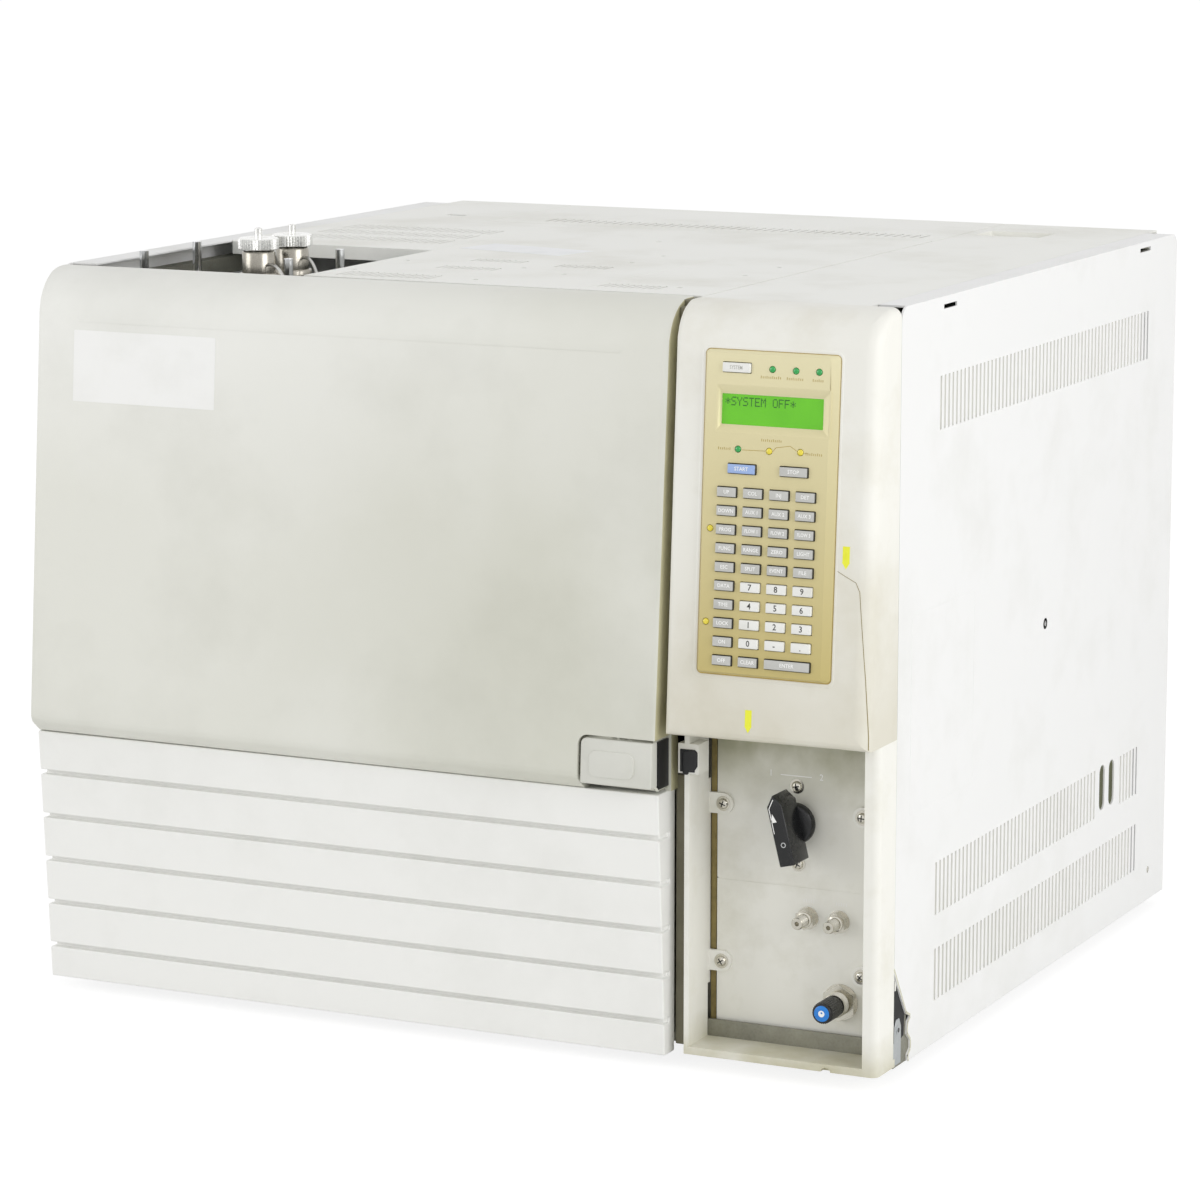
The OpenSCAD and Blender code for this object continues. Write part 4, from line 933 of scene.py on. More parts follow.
def legend(node, texts, ink, size=3.0, bold=0.04):
    """One legend for each key of a node."""
    bm = bmesh.new()
    for (x, z, *_), text in zip(KEYS[node], texts):
        letters(bm, text, x, KEY_Y - 0.03, z, size, min(0.95, 4.7 / len(text)), bold)
    out = bmesh.ops.extrude_face_region(bm, geom=bm.faces[:])["geom"]
    bmesh.ops.translate(bm, verts=[g for g in out if isinstance(g, bmesh.types.BMVert)],
                        vec=(0, 0.05, 0))
    finish(node + "_legend", bm, ink, BODY_OF[node], place=FACE)


legend("system_key", ["SYSTEM"], ink_pale, 2.9)
legend("start_key", ["START"], ink_white)
legend("stop_key", ["STOP"], ink_white)
legend("enter_key", ["ENTER"], ink_white)
legend("command_keys", ["OFF", "CLEAR"], ink_white)
legend("function_keys", ["UP", "COL", "INJ", "DET", "DOWN", "AUX 1", "AUX 2", "AUX 3", "PROG",
                         "FLOW 1", "FLOW 2", "FLOW 3", "FUNC", "RANGE", "ZERO", "LIGHT", "ESC",
                         "SPLIT", "EVENT", "FILE", "DATA", "TIME", "LOCK", "ON"], ink_white, 2.9)
legend("number_keys", ["7", "8", "9", "4", "5", "6", "1", "2", "3", "0", "-", "."],
       ink_black, 4.8, 0.06)

# %% [markdown]
# ## Display
# A liquid crystal display is glass over a reflector, set 3 mm behind the plate's face in a frame
# whose four sides slope in. The frame is a row of rounded outlines with faces between them.

# %% Display
inner_bezel = (BEZEL[0] + 0.5, BEZEL[1] + 0.5, BEZEL[2] - 0.5, BEZEL[3] - 0.5)
steps = ((BEZEL, PLATE_Y, 1.2), (inner_bezel, -2.9, 1.0), (GLASS, -0.25, 0.4), (GLASS, 0.3, 0.4))
bm = bmesh.new()
loft(bm, [ring_of(rounded(*box, r, 3), bm, y) for box, y, r in steps])
bmesh.ops.reverse_faces(bm, faces=bm.faces)
finish("display_bezel", bm, gold, "cabinet", place=FACE, smooth=50)

lcd_glass, tree, shader, where = new_material("display_glass_green", Roughness=0.2)
fade = add(tree, "ShaderNodeTexNoise", {"Vector": where, "Scale": per(30), "Detail": 3})
tint = add(tree, "ShaderNodeMix", {
    "Factor": fade.outputs["Fac"], "A": tone("#72D226"), "B": tone("#5AB81C")}, data_type="RGBA")
tree.links.new(tint.outputs["Result"], shader.inputs["Base Color"])
bm = bmesh.new()
block(bm, (GLASS[0] - 0.8, 0.0, GLASS[1] - 0.8), (GLASS[2] + 0.8, 0.18, GLASS[3] + 0.8))
finish("display_glass", bm, lcd_glass, "cabinet", place=FACE)

# %% [markdown]
# ## Characters of the display
# Each character is a grid of dots, five wide and seven high. The rows are written as text, with a 1
# for every dark dot, so that a letter can be read and changed here. Each dark dot is a small block.

# %% Characters of the display
GLYPHS = {
    "S": "01111 10000 10000 01110 00001 00001 11110", "Y": "10001 10001 01010 00100 00100 00100 00100",
    "T": "11111 00100 00100 00100 00100 00100 00100", "E": "11111 10000 10000 11110 10000 10000 11111",
    "M": "10001 11011 10101 10101 10001 10001 10001", "O": "01110 10001 10001 10001 10001 10001 01110",
    "F": "11111 10000 10000 11110 10000 10000 10000", "*": "00000 00100 10101 01110 10101 00100 00000"}
DOT_DX, DOT_DZ = 0.6, 0.7
CHARACTER_DX = 3.55
bm = bmesh.new()
for i, letter in enumerate("*SYSTEM OFF*"):
    for row, line in enumerate(GLYPHS.get(letter, "").split()):
        for column, dark in enumerate(line):
            if dark == "1":
                x = GLASS[0] + 1.9 + i * CHARACTER_DX + column * DOT_DX
                z = GLASS[3] - 1.6 - row * DOT_DZ
                block(bm, (x, -0.04, z - 0.62), (x + 0.54, 0.02, z))
finish("display_characters", bm, ink_green, "cabinet", place=FACE)

# %% [markdown]
# ## Lamps
# Each lamp is a small diode, 3.5 mm across: a clear coloured dome that stands a little proud of its
# hole. The dome's points follow a quarter ellipse.

# %% Lamps
LAMP_R = 1.75
dome = [(0, -3.95)] + [(LAMP_R * math.sin(math.radians(a)), -2.9 - 1.05 * math.cos(math.radians(a)))
                       for a in range(15, 91, 15)]
for colour, lens in (("green", lens_green), ("yellow", lens_yellow)):
    bm = bmesh.new()
    for x, z in LAMPS[colour]:
        lathe(bm, dome + [(LAMP_R, -0.5), (0, -0.5)], "y", (x, z), 20)
    finish("lamps_" + colour, bm, lens, "cabinet",
           ["status_lamps"] if colour == "green" else (), place=FACE, smooth=60)

# %% [markdown]
# ## Printed lines
# Thin printed lines link the lamps of one group, and rows of short strokes stand where words are
# too small to read. Every third stroke is taller, as some letters of a word are.

# %% Printed lines


def stripe(bm, start, end, half, y_front, y_rear):
    """Thin straight strip between two points of a drawing; half is half its width."""
    (xa, za), (xb, zb) = start, end
    way = Vector((xb - xa, zb - za)).normalized() * half
    spots = [(xa - way.y, za + way.x), (xb - way.y, zb + way.x), (xb + way.y, zb - way.x),
             (xa + way.y, za - way.x)]
    return prism(bm, spots, "y", y_front, y_rear)


def dash(x0, z0, x1, z1, width=0.35):
    """Thin printed line on the plate."""
    stripe(bm, (x0, z0), (x1, z1), width / 2, PLATE_Y - 0.04, PLATE_Y + 0.01)


def strokes(x, z, count, step=1.15, tall=1.5):
    """A row of upright strokes in place of a word."""
    for i in range(count):
        dash(x + i * step, z, x + i * step, z + tall * (0.8 + 0.2 * ((i * 7) % 3 == 0)), 0.42)


bm = bmesh.new()
for line in ((191.4, 163.0, 205.4, 163.2), (209.8, 163.2, 211.6, 165.4), (211.6, 165.4, 220, 166.8),
             (220, 166.8, 223.9, 164.4), (228.5, 163.5, 231, 163.4)):
    dash(*line)
for x, z, count in ((201.5, 203.0, 11), (217.0, 202.9, 9), (232.4, 202.8, 6), (177.2, 162.5, 7),
                    (203.0, 168.4, 11), (229.6, 162.3, 9)):
    strokes(x, z, count)
finish("printed_lines", bm, ink_gold, "cabinet", place=FACE)

# %% [markdown]
# ## Door handle
# The handle is a flat paddle that lies flush with the door's skin, with a shallow raised pad where
# the fingers press. It starts as a flat outline, and its front points are then moved onto the
# door's profile, so that it leans as the door does.

# %% Door handle
PADDLE_FOOT = 172


def lay_on_door(points, lift):
    """Moves a piece's front points onto the door's plane."""
    for v in points:
        if v.co.y < -260:
            v.co.y = door_profile(max(v.co.z, PADDLE_FOOT)) - lift


bm = bmesh.new()
prism(bm, [(97.0, 167.0), (141.2, 167.0), (141.2, 193.2), (100.6, 193.2), (99.2, 192.9),
           (97.9, 192.0), (97.2, 190.8), (97.0, 189.4)], "y", -262.4, -256.4)
lay_on_door(bm.verts, -0.4)
ease(bm, 0.9, 3, 40)
pad = bmesh.new()
prism(pad, rounded(102.5, 171.5, 130.5, 186.5, 4.5), "y", -263.6, -258)
lay_on_door(pad.verts, 0.15)
ease(pad, 0.45, 2, 50)
take_in(bm, pad)
for v in bm.verts:
    v.co.y = max(v.co.y, DOOR_FRONT_Y)
finish("handle_paddle", bm, handle_abs, "handle", ["door_handle"], smooth=50)

# %% [markdown]
# ## Selector knob
# The knob is one thick bar with a pointed end on a round skirt. A white line and arrow are printed
# by its point, and its grub screw shows as a small bright ring. All is drawn upright round the
# knob's own middle and then turned, so that the angle can be changed in one place.

# %% Selector knob
knob_low, knob_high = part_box("selector_knob")
print("knob solid, in metres, from", [round(v, 4) for v in knob_low], "to",
      [round(v, 4) for v in knob_high])
KNOB = (208.9, 144.7)
KNOB_FRONT_Y = -239.8
turn = Matrix.Translation((KNOB[0], 0, KNOB[1])) @ Matrix.Rotation(math.radians(-14), 4, "Y")
bm = bmesh.new()
lathe(bm, [(0, -215.9), (11.6, -215.9), (12, -216.4), (12, -219), (11.2, -220.4), (9.6, -221),
           (0, -221)], "y", (0, 0), 56)
bar_verts = prism(bm, [(-4.9, -20.2), (4.9, -20.2), (4.9, 14.5), (0.3, 20.8), (-4.9, 14.5)], "y",
                  KNOB_FRONT_Y, -219.6)
for v in bar_verts:
    if v.co.y < -230:
        v.co.x *= 0.93
ease(bm, 0.7, 3, 40)
finish("selector_bar", bm, gloss_black, "selector", ["selector_knob"],
       place=turn, smooth=45)

bm = bmesh.new()
PRINT_Y = (KNOB_FRONT_Y - 0.1, KNOB_FRONT_Y + 0.1)
for start, end in (((-3.4, -1), (-3.4, 13.4)), ((-3.4, 13.4), (0.2, 18.2))):
    stripe(bm, start, end, 0.22, *PRINT_Y)
prism(bm, [(-3.9, 5.4), (-0.4, 5.4), (-2.2, 10.4)], "y", *PRINT_Y)
finish("selector_arrow", bm, ink_white, "selector", place=turn)

bm = bmesh.new()
lathe(bm, [(1.5, -239.85), (1.5, -239.7), (1.05, -239.7), (1.05, -239.85), (1.5, -239.85)], "y",
      (0.5, -8), 24)
finish("grub_screw_ring", bm, chrome, "selector", place=turn)

# %% [markdown]
# ## Needle valve knob
# A small fluted knob with a blue cap, on a hexagonal nut. Fluted and knurled parts share one
# helper: a star with many shallow points, pushed along its axis.

# %% Needle valve knob


def fluted(bm, axis, start, end, at, radius, depth, count):
    """Round bar whose side has this many flutes."""
    outline = []
    for i in range(count * 2):
        r = radius - (depth if i % 2 else 0)
        a = math.pi * i / count
        outline.append((at[0] + r * math.cos(a), at[1] + r * math.sin(a)))
    prism(bm, outline, axis, start, end)


FLOW = (235.5, 42.5)
bm = bmesh.new()
fluted(bm, "y", -238.6, -224, FLOW, 6.3, 0.35, 30)
lathe(bm, [(0, -240), (5.2, -240), (5.8, -239.5), (6.0, -238.6), (6.0, -223.5), (5.2, -223),
           (0, -223)], "y", FLOW, 40)
finish("needle_grip", bm, gloss_black, "needle_knob", ["flow_knob"], smooth=30)
bm = bmesh.new()
lathe(bm, [(0, -240.35), (4.2, -240.35), (4.6, -240.1), (4.6, -239.7), (0, -239.7)], "y", FLOW, 36)
finish("needle_cap", bm, cap_blue, "needle_knob")
bm = bmesh.new()
lathe(bm, [(0, -240.42), (1.9, -240.42), (1.9, -240.3), (0, -240.3)], "y", FLOW, 24)
finish("needle_cap_dot", bm, ink_white, "needle_knob")
bm = bmesh.new()
bar(bm, "y", -240.47, -240.4, (FLOW[0] + 0.1, FLOW[1] + 0.5), 0.55, 16)
finish("needle_cap_mark", bm, cap_blue, "needle_knob")

# %% [markdown]
# ## Nuts and tube ends
# Each nut is a plain hexagon with a round washer behind it, and each tube end carries a thread: a
# profile that rises and falls every 0.8 mm as it is turned. The thread's turns are separate rings
# and not a helix, which can't be told apart at this size.

# %% Nuts and tube ends
PANEL_Y = -212.0
PITCH = 0.8


def nut(bm, y_front, at, across):
    """Hexagon that stands on the valve panel."""
    corner = across / 2 / math.cos(math.pi / 6)
    outline = [(at[0] + corner * math.cos(math.pi * i / 3 + math.pi / 6),
                at[1] + corner * math.sin(math.pi * i / 3 + math.pi / 6)) for i in range(6)]
    prism(bm, outline, "y", y_front, PANEL_Y)


def thread(outer, inner, y0, y1, bore, bore_depth):
    """Profile of a threaded end that points to -y."""
    points = [(0, y0 + bore_depth), (bore, y0 + bore_depth), (bore, y0), (inner, y0)]
    y = y0 + 0.3
    while y + PITCH < y1:
        points += [(outer, y + PITCH * 0.25), (outer, y + PITCH * 0.5), (inner, y + PITCH * 0.9)]
        y += PITCH
    return points + [(inner, y1), (0, y1)]


def washer(bm, at, radius, thick, steps):
    """Flat disc on the valve panel."""
    face = PANEL_Y - thick
    lathe(bm, [(0, face), (radius, face), (radius, PANEL_Y), (0, PANEL_Y)], "y", at, steps)


bm = bmesh.new()
for at in ((214.8, 89.3), (234.0, 89.1)):
    nut(bm, -217.6, at, 10.6)
    lathe(bm, [(4.6, -217.6), (4.6, -218.4), (3.8, -218.9), (0, -218.9)], "y", at, 32)
    lathe(bm, thread(3.5, 3.1, -228.0, -218.6, 1.3, 5.0), "y", at, 32)
    washer(bm, at, 6.6, 0.3, 32)
    lathe(bm, [(0, -211), (3.3, -211), (3.3, -192), (0, -192)], "y", at, 24)
finish("tube_ends", bm, nickel, "cabinet", ["valve_fittings"], soften_mm=0.25,
       smooth=30)
bm = bmesh.new()
nut(bm, -215.8, FLOW, 18.6)
lathe(bm, thread(7.0, 6.5, -222.3, -215.8, 5.4, 4.0), "y", FLOW, 40)
washer(bm, FLOW, 10.6, 0.6, 40)
finish("needle_valve_nut", bm, nickel, "cabinet", soften_mm=0.3, smooth=30)

# %% [markdown]
# ## Panel screws
# Pan-head screws: a low dome, and a cross recess that is drawn as two dark bars in its middle,
# painted shade. A real screw stops at any angle, so each cross is turned by an angle of its own.
# One more screw sits low on the right side, in a dished washer.

# %% Panel screws
TAB_Y = -214.0
TABS = [(163.0, 151.0), (162.2, 58.6), (248.4, 151.0), (248.4, 59.0)]
heads = [(x, z, TAB_Y) for x, z in TABS] + [(207.6, 165.0, PANEL_Y), (208.7, 120.0, PANEL_Y)]
bm = bmesh.new()
recess_shade_bm = bmesh.new()
for i, (x, z, y) in enumerate(heads):
    lathe(bm, [(0, y - 2.1), (1.3, y - 2.05), (2.3, y - 1.7), (2.9, y - 1.1), (3.1, y - 0.5),
               (3.1, y), (1.4, y), (1.4, y + 3), (0, y + 3)], "y", (x, z), 32)
    lathe(bm, [(3.1, y - 0.35), (4.3, y - 0.3), (4.3, y), (3.1, y)], "y", (x, z), 32)
    spin_by = Matrix.Translation((x, 0, z)) @ Matrix.Rotation(math.radians(20 + 37 * i), 4, "Y")
    for size in ((1.9, 0.32), (0.32, 1.9)):
        # Painted shade: two dark bars stand for the cross recess.
        verts = block(recess_shade_bm, (-size[0], y - 2.16, -size[1]), (size[0], y - 1.2, size[1]))
        bmesh.ops.transform(recess_shade_bm, matrix=spin_by, verts=verts)
finish("panel_screw_heads", bm, nickel, "cabinet", ["panel_screws"], smooth=50)
finish("screw_recesses", recess_shade_bm, gloss_black, "cabinet")
bm = bmesh.new()
lathe(bm, [(0, 270.0), (1.4, 269.95), (1.9, 269.6), (1.9, 260), (0, 260)], "x", (223.9, 28.1), 28)
lathe(bm, [(2.0, 269.7), (3.6, 269.9), (3.7, 269.99), (3.9, 269.5), (2.2, 269.2), (2.0, 269.7)],
      "x", (223.9, 28.1), 28)
finish("side_screw", bm, nickel, "cabinet", smooth=50)

# %% [markdown]
# ## Screws and plate on the rear
# Smaller screws hold the rear panel along both sides and its top and bottom, and a bare metal plate
# sits where a rating plate belongs.

# %% Screws and plate on the rear
rear_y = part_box("rear_panel")[1][1] / MM
bm = bmesh.new()
recess_shade_bm = bmesh.new()
for x in (-258, -90, 90, 258):
    for z in (28, 418) if abs(x) < 200 else (28, 225, 395):
        lathe(bm, [(0, rear_y + 1.6), (1.6, rear_y + 1.5), (2.6, rear_y + 0.9), (2.8, rear_y),
                   (0, rear_y)], "y", (x, z), 24)
        # Painted shade: two black bars stand for each cross recess.
        for wide, tall in ((1.7, 0.3), (0.3, 1.7)):
            block(recess_shade_bm, (x - wide, rear_y + 0.9, z - tall), (x + wide, rear_y + 1.64, z + tall))
finish("rear_screws", bm, nickel, "cabinet", smooth=50)
finish("rear_screw_recesses", recess_shade_bm, gloss_black, "cabinet")
bm = bmesh.new()
block(bm, (20, rear_y, 60), (110, rear_y + 0.12, 112))
finish("bare_rating_plate", bm, turned, "cabinet", soften_mm=0.05)

# %% [markdown]
# ## Latch keeper hook
# The catch in the block is a dark moulded hook, rounded where the door's latch rides over it. At
# its small size a flat outline pushed back and softened by a live bevel is enough.

# %% Latch keeper hook
bm = bmesh.new()
prism(bm, [(150.4, 172.4), (153.6, 172.4), (154.4, 175), (157.6, 175), (159.4, 177.6),
           (159.4, 185.6), (157.6, 187.2), (150.4, 186)], "y", -243.1, -240.5)
finish("keeper_hook", bm, black_abs, "cabinet", soften_mm=0.7, segments=3)

# %% [markdown]
# ## Injector caps
# The two septum caps are knurled aluminium nuts, turned by hand, with a needle guide in the middle.
# Below each one stands the injector's heated neck, a plain turned collar whose nickel has dulled.

# %% Injector caps
INJECTORS = {"front": (-186.0, -129.0), "rear": (-179.0, -100.0)}
for side, at in INJECTORS.items():
    name = "septum_cap_" + side
    bm = bmesh.new()
    fluted(bm, "z", 445.0, 451.0, at, 12.5, 0.5, 44)
    lathe(bm, [(6.3, 444.5), (11.4, 444.5), (12.0, 445.0), (12.0, 451.0), (11.3, 451.6), (6.5, 451.6),
               (5.6, 450.7), (2.3, 450.7), (2.3, 457.1), (1.9, 457.5), (1.15, 457.5),
               (1.15, 451)], "z", at, 48)
    finish(name + "_knurled", bm, turned, side + "_cap", [name], smooth=30)
bm = bmesh.new()
for at in INJECTORS.values():
    lathe(bm, [(8.2, 422), (11.6, 422), (12.0, 422.5), (12.0, 429.6), (11.5, 430.2), (10.15, 430.4),
               (10.15, 442.6), (9.4, 443.6), (6.4, 444.3)], "z", at, 40)
finish("injector_collars", bm, heated_nickel, "cabinet", smooth=40)

# %% [markdown]
# ## Carrier gas tubes
# Two thin steel tubes leave the injector collars and bend down into the well. A tube is a curve
# with a round section, so it starts as a Blender curve and is made a mesh before it rides along.

# %% Carrier gas tubes
TUBE_R = 1.0
ROUTES = {"front": ((-177, -133, 436), (-170, -137, 435.5), (-163, -141, 431), (-158, -144, 422)),
          "rear": ((-170, -103, 438), (-163, -107, 437), (-156, -112, 431), (-151, -116, 422))}
for side, spots in ROUTES.items():
    curve = bpy.data.curves.new("carrier_tube", "CURVE")
    curve.dimensions = "3D"
    curve.bevel_depth = TUBE_R
    curve.bevel_resolution = 4
    line = curve.splines.new("BEZIER")
    line.bezier_points.add(len(spots) - 1)
    for point, spot in zip(line.bezier_points, spots):
        point.co = spot
        point.handle_left_type = point.handle_right_type = "AUTO"
    holder = bpy.data.objects.new("carrier_tube", curve)
    bm = bmesh.new()
    bm.from_mesh(holder.to_mesh())
    holder.to_mesh_clear()
    bpy.data.objects.remove(holder)
    finish("carrier_tube_" + side, bm, stainless, "cabinet", smooth=60)

# %% [markdown]
# ## Seams and seals
# The two halves of the valve panel nearly touch, so a strip behind them closes the seam. A seal
# lies deep between the door and the column, in an olive grey that is painted shade, and a brown
# strip of painted shade runs along the edge of the post beside the valve panel.

# %% Seams and seals
bm = bmesh.new()
block(bm, (159, -211.75, 104), (265.6, -211.0, 110))
finish("valve_panel_strip", bm, panel_enamel, "cabinet", soften_mm=0.1)
bm = bmesh.new()
# Painted shade: an olive grey seal fills the deep gap by the door.
block(bm, (143.4, -233.0, 200), (149.3, -226.0, 436))
block(bm, (141.9, -226.0, 428), (149.3, -212.6, 439.2))
block(bm, (141.9, -233.0, 12), (149.3, -226.0, 170))
finish("door_seal", bm, seal_shade_olive, "cabinet", soften_mm=0.8)
bm = bmesh.new()
# Painted shade: a brown strip along the post edge beside the valve panel.
block(bm, (154.4, -211.3, 14.5), (157.8, -210.85, 196))
finish("post_edge_painted_shade", bm, seam_dust_and_shade, "cabinet", soften_mm=0.1)

# %% [markdown]
# ## Print on the valve panel
# Two figures with a line between them are printed over the selector, one for each position. Short
# strokes over the tube ends stand for words too small to read.

# %% Print on the valve panel
bm = bmesh.new()
for x, text in ((191.5, "1"), (222.5, "2")):
    letters(bm, text, x, PANEL_Y - 0.06, 171.2, 5.2, 0.9, 0.05)
prism(bm, [(197.5, 170.6), (216.5, 170.6), (216.5, 171.1), (197.5, 171.1)], "y", PANEL_Y - 0.08,
      PANEL_Y)
STROKE_DX, STROKE_W = 1.5, 0.3
for first in (212.3, 232.2):
    for k in range(5):
        x = first + k * STROKE_DX
        prism(bm, [(x, 98.2), (x + STROKE_W, 98.2), (x + STROKE_W, 100.2), (x, 100.2)], "y",
              PANEL_Y - 0.06, PANEL_Y)
finish("valve_panel_print", bm, ink_white, "cabinet")

# %% [markdown]
# ## Labels on the door and the top
# A bare plate on the door and a blank label on the top are only a tenth of a millimetre thick. The
# plate follows the door's leaning plane, and the label was stuck on askew.

# %% Labels on the door and the top
bm = bmesh.new()
for v in prism(bm, rounded(-243.5, 363.0, -147.0, 405.0, 0.8), "y", 0.0, 0.1):
    v.co.y += door_profile(v.co.z) - 0.12
finish("bare_name_plate", bm, label_pale, "door")
bm = bmesh.new()
block(bm, (-39, -18, CABINET_TOP + 0.02), (39, 18, CABINET_TOP + 0.14))
ease(bm, 0.04, 1)
bm.transform(Matrix.Translation((-58, -21, 0)) @ Matrix.Rotation(math.radians(-12), 4, "Z"))
finish("blank_top_label", bm, label_white, "cabinet")

# %% [markdown]
# ## Foil arrows
# Two yellow arrows point down on the column: one at its side, one over the valve bay. Each is cut
# from thin foil, so it is a flat outline laid on the column's profile.

# %% Foil arrows


def arrow(bm, x, z_low, z_high, wide):
    """Arrow that points down, drawn on the column's leaning plane."""
    neck = z_low + (z_high - z_low) * 0.3
    half = wide / 2
    spots = [(x - half * 0.86, z_high), (x - half * 0.86, neck), (x - half, neck), (x, z_low),
             (x + half, neck), (x + half * 0.86, neck), (x + half * 0.86, z_high)]
    for v in prism(bm, spots[::-1], "y", -0.12, 0.0):
        v.co.y += column_profile(v.co.z)


bm = bmesh.new()
arrow(bm, 254.1, 299.5, 312, 4.8)
arrow(bm, 198.9, 204.3, 217.1, 4.6)
finish("foil_arrows", bm, foil_yellow, "cabinet")

# %% [markdown]
# ## Hairline crack
# The column has cracked from the window's side to its foot, and dust has filled the crack. It is
# drawn as a thin dark stripe. Each straight stretch is cut into short steps, so that the stripe can
# follow the face as it curves away towards the right edge.

# %% Hairline crack
CRACK = [(246.6, 300.5), (248.4, 298.5), (254.6, 295.3), (260.4, 292.5), (262.8, 287.5),
         (265.2, 261.5), (267.2, 239.0), (268.6, 217.0), (269.1, 207.0), (269.2, 200.0)]
STEPS = 8
bm = bmesh.new()
for (xa, za), (xb, zb) in zip(CRACK, CRACK[1:]):
    spots = [(xa + (xb - xa) * t / STEPS, za + (zb - za) * t / STEPS) for t in range(STEPS + 1)]
    for start, end in zip(spots, spots[1:]):
        for v in stripe(bm, start, end, 0.13, -0.1, 0.05):
            v.co.y += column_profile(v.co.z) + edge_drop(COLUMN_X[1] - v.co.x, COLUMN_EDGE)
finish("hairline_crack", bm, seam_dust_and_shade, "cabinet")

# %% [markdown]
# ## Marks on the right side
# A faint label outline, and a pressed centre mark with its ring. The label is a shallow tray whose
# rim stands a tenth of a millimetre proud, so it shows as a thin line.

# %% Marks on the right side
SIDE_X = COLUMN_X[1]
LABEL = (-197, 150.5, -99, 264.5)
bm = bmesh.new()
rings = []
for inset, lift in ((0.0, 0.0), (0.0, 0.1), (0.45, 0.1), (0.45, 0.03)):
    outline = rounded(LABEL[0] + inset, LABEL[1] + inset, LABEL[2] - inset, LABEL[3] - inset, 2.5, 4)
    rings.append([bm.verts.new((SIDE_X + lift, y, z)) for y, z in outline])
loft(bm, rings)
bm.faces.new(rings[-1])
finish("side_label", bm, side_enamel, "cabinet", smooth=60)

bm = bmesh.new()
lathe(bm, [(1.6, SIDE_X), (2.2, 270.12), (2.9, 270.12), (3.4, SIDE_X), (3.2, 269.8), (1.7, 269.8),
           (1.6, SIDE_X)], "x", (20.6, 224.7), 32)
for v in bm.verts:
    v.co.x = min(v.co.x, SIDE_X)
finish("side_dimple", bm, ink_pale, "cabinet", smooth=60)

# %% [markdown]
# ## Broken corner
# The panel's lower front corner is broken off and shows a zinc bracket before a dark hollow. Thin
# pieces close to the panel's face draw them, since the real depth can't be seen. The broken edge
# itself is a pale strip along the line of the break.

# %% Broken corner
# Painted shade: a thin black sheet stands for the dark hollow behind the break.
bm = bmesh.new()
prism(bm, [(-217.6, 64), (-215.6, 61), (-198.6, 36.5), (-199.6, 24), (-217.6, 20)], "x", 268.85,
      268.95)
finish("bracket_shade", bm, rubber, "cabinet")
bm = bmesh.new()
BRACKET_HOLE = (-209.3, 29.5)
prism(bm, [(-217.4, 9.6), (-204.8, 9.6), (-204.8, 31), (-207.5, 36), (-212, 36), (-214.6, 32),
           (-215.2, 23), (-217.4, 22)], "x", 268.95, 269.5)
bar(bm, "x", 269.4, 269.8, BRACKET_HOLE, 2.5, 24)
finish("corner_bracket", bm, zinc, "cabinet", soften_mm=0.15)
bm = bmesh.new()
bar(bm, "x", 269.7, 269.95, BRACKET_HOLE, 1.3, 20)
finish("bracket_screw", bm, gloss_black, "cabinet")
BREAK = [(-218.1, 66.5), (-198.9, 36.7), (-192.5, 33.6), (-196.4, 31.4), (-197.3, 24.2),
         (-192.1, 19.4), (-192.0, 14.5), (-196.3, 11.5), (-195.0, 7.4)]
EDGE_W = 1.3
bm = bmesh.new()
for (ya, za), (yb, zb) in zip(BREAK, BREAK[1:]):
    way = Vector((yb - ya, zb - za)).normalized() * EDGE_W
    prism(bm, [(ya, za), (yb, zb), (yb - way.y, zb + way.x), (ya - way.y, za + way.x)],
          "x", 269.9, 270.08)
finish("broken_edge", bm, edge_bone, "cabinet", smooth=60)

# %% [markdown]
# ## Behind the side slots
# A pale dust gauze lies right behind the slots of the right side, so they read as soft lines and
# not as black ones. Behind the two wide openings an olive sheet is painted shade of the hollow
# behind them. Their ends are round, so four small fillers close the square corners of each.

# %% Behind the side slots
bm = bmesh.new()
side_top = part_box("right_side_panel")[1][2] / MM
for z_low, z_high in ((31, 66), (81, 118), (side_top - 78, side_top - 41)):
    block(bm, (268.45, -160, z_low), (268.7, 188, z_high))
finish("slot_gauze", bm, gauze_pale, "cabinet")
bm = bmesh.new()
# Painted shade: an olive sheet behind the two wide openings.
block(bm, (268.72, 123, 85), (268.78, 155, 117.5))
finish("opening_painted_shade", bm, gauze_olive, "cabinet")
bm = bmesh.new()
OPENINGS = (130.2, 147.9)
HALF_WIDTH = 5.0
for middle in OPENINGS:
    for side in (-1, 1):
        for end, way in ((87.0, 1), (116.0, -1)):
            arc = [(middle + side * HALF_WIDTH * math.cos(math.radians(a)),
                    end + way * HALF_WIDTH * (1 - math.sin(math.radians(a))))
                   for a in range(0, 91, 15)]
            prism(bm, [(middle + side * HALF_WIDTH, end)] + arc, "x", 268.85, 269.97)
finish("opening_round_ends", bm, side_enamel, "cabinet")

# %% [markdown]
# ## White studio
# The instrument stands in soft, even light. The world gives that part of it, but what the camera
# and mirrors see of the world is plain white, a little brighter than the light that it gives.

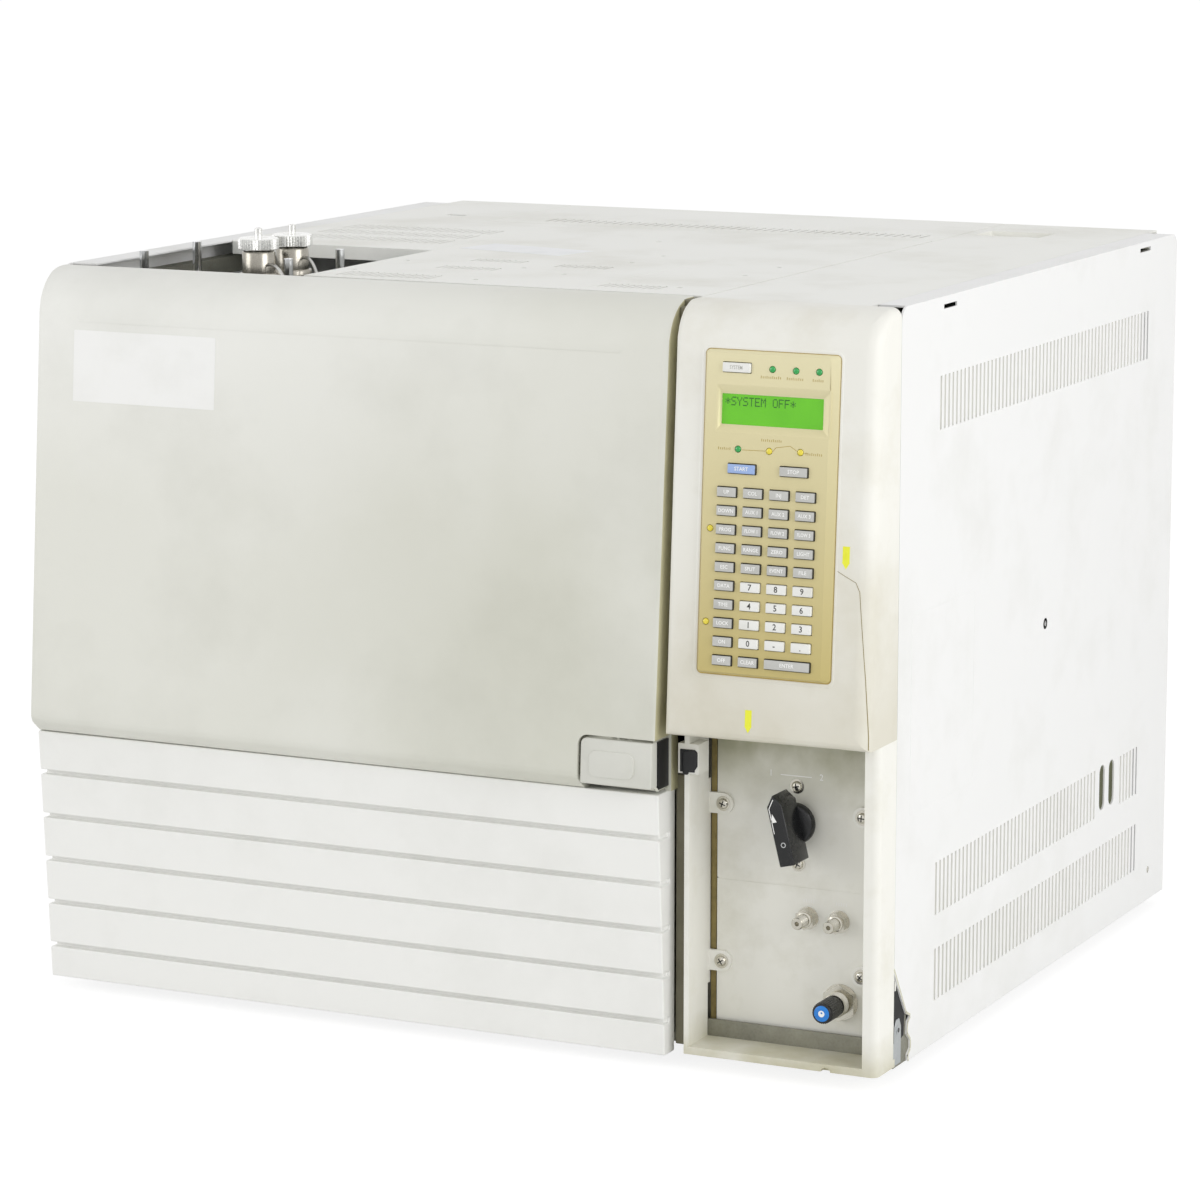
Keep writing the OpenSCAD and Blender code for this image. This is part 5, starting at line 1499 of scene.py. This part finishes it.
# %% White studio
world = bpy.data.worlds.new("studio")
bpy.context.scene.world = world
world.use_nodes = True
tree = world.node_tree
tree.nodes.clear()
paths = add(tree, "ShaderNodeLightPath")
seen = add(tree, "ShaderNodeMath", {0: paths.outputs["Is Camera Ray"],
                                    1: paths.outputs["Is Glossy Ray"]}, operation="MAXIMUM")
seen = add(tree, "ShaderNodeMath", {0: seen.outputs["Value"],
                                    1: paths.outputs["Is Transmission Ray"]}, operation="MAXIMUM")
soft = add(tree, "ShaderNodeBackground", {"Color": (1, 1, 1, 1), "Strength": 0.66})
white = add(tree, "ShaderNodeBackground", {"Color": (1, 1, 1, 1), "Strength": 1.02})
choice = add(tree, "ShaderNodeMixShader", {0: seen.outputs["Value"], 1: soft.outputs[0],
                                           2: white.outputs[0]})
add(tree, "ShaderNodeOutputWorld", {"Surface": choice.outputs[0]})
print("world made of", len(tree.nodes), "nodes")

# %% [markdown]
# ## Lamps of the studio
# Most of the direct light comes from a large soft lamp on the right, and a weaker one on the left
# opens the shadows. A large lamp close by gives softer shadows than a small one does.

# %% Lamps of the studio


def lamp(name, place, target, size, watts):
    """Soft rectangular lamp that looks at its target."""
    made = place_object(name, bpy.data.lights.new(name, "AREA"))
    made.data.shape = "RECTANGLE"
    made.data.size, made.data.size_y = size
    made.data.energy = watts
    made.location = place
    made.rotation_euler = (Vector(target) - Vector(place)).to_track_quat("-Z", "Y").to_euler()
    print("lamp", name, watts, "W")


lamp("side_window", (2.6, -0.9, 1.2), (0.1, 0, 0.25), (1.8, 1.6), 31)
lamp("left_fill", (-2.4, -2.0, 1.0), (0, -0.1, 0.25), (1.6, 1.6), 21)

# %% [markdown]
# ## White table
# A white paper table throws light back up. To the camera it glows a little, so that it goes over
# into the white behind it without an edge, and shadows still show on it.

# %% White table
floor_paint, tree, shader, where = new_material("backdrop_paper_white", Roughness=0.9)
fleck = add(tree, "ShaderNodeTexNoise", {"Vector": where, "Scale": 3, "Detail": 3})
paper = add(tree, "ShaderNodeMix", {
    "Factor": fleck.outputs["Fac"], "A": tone("#F6F6F5"), "B": tone("#F4F4F3")}, data_type="RGBA")
tree.links.new(paper.outputs["Result"], shader.inputs["Base Color"])
paths = add(tree, "ShaderNodeLightPath")
glow = add(tree, "ShaderNodeEmission", {"Color": (1, 1, 1, 1), "Strength": 1.16})
part = add(tree, "ShaderNodeMath", {0: paths.outputs["Is Camera Ray"], 1: 0.74},
           operation="MULTIPLY")
blend = add(tree, "ShaderNodeMixShader", {0: part.outputs["Value"], 1: shader.outputs[0],
                                          2: glow.outputs[0]})
tree.links.new(blend.outputs[0], tree.nodes["Material Output"].inputs["Surface"])
bm = bmesh.new()
bmesh.ops.create_grid(bm, x_segments=1, y_segments=1, size=6)
data = bpy.data.meshes.new("floor")
bm.to_mesh(data)
bm.free()
data.materials.append(floor_paint)
floor = place_object("floor", data)
bpy.context.scene.view_settings.view_transform = "Standard"
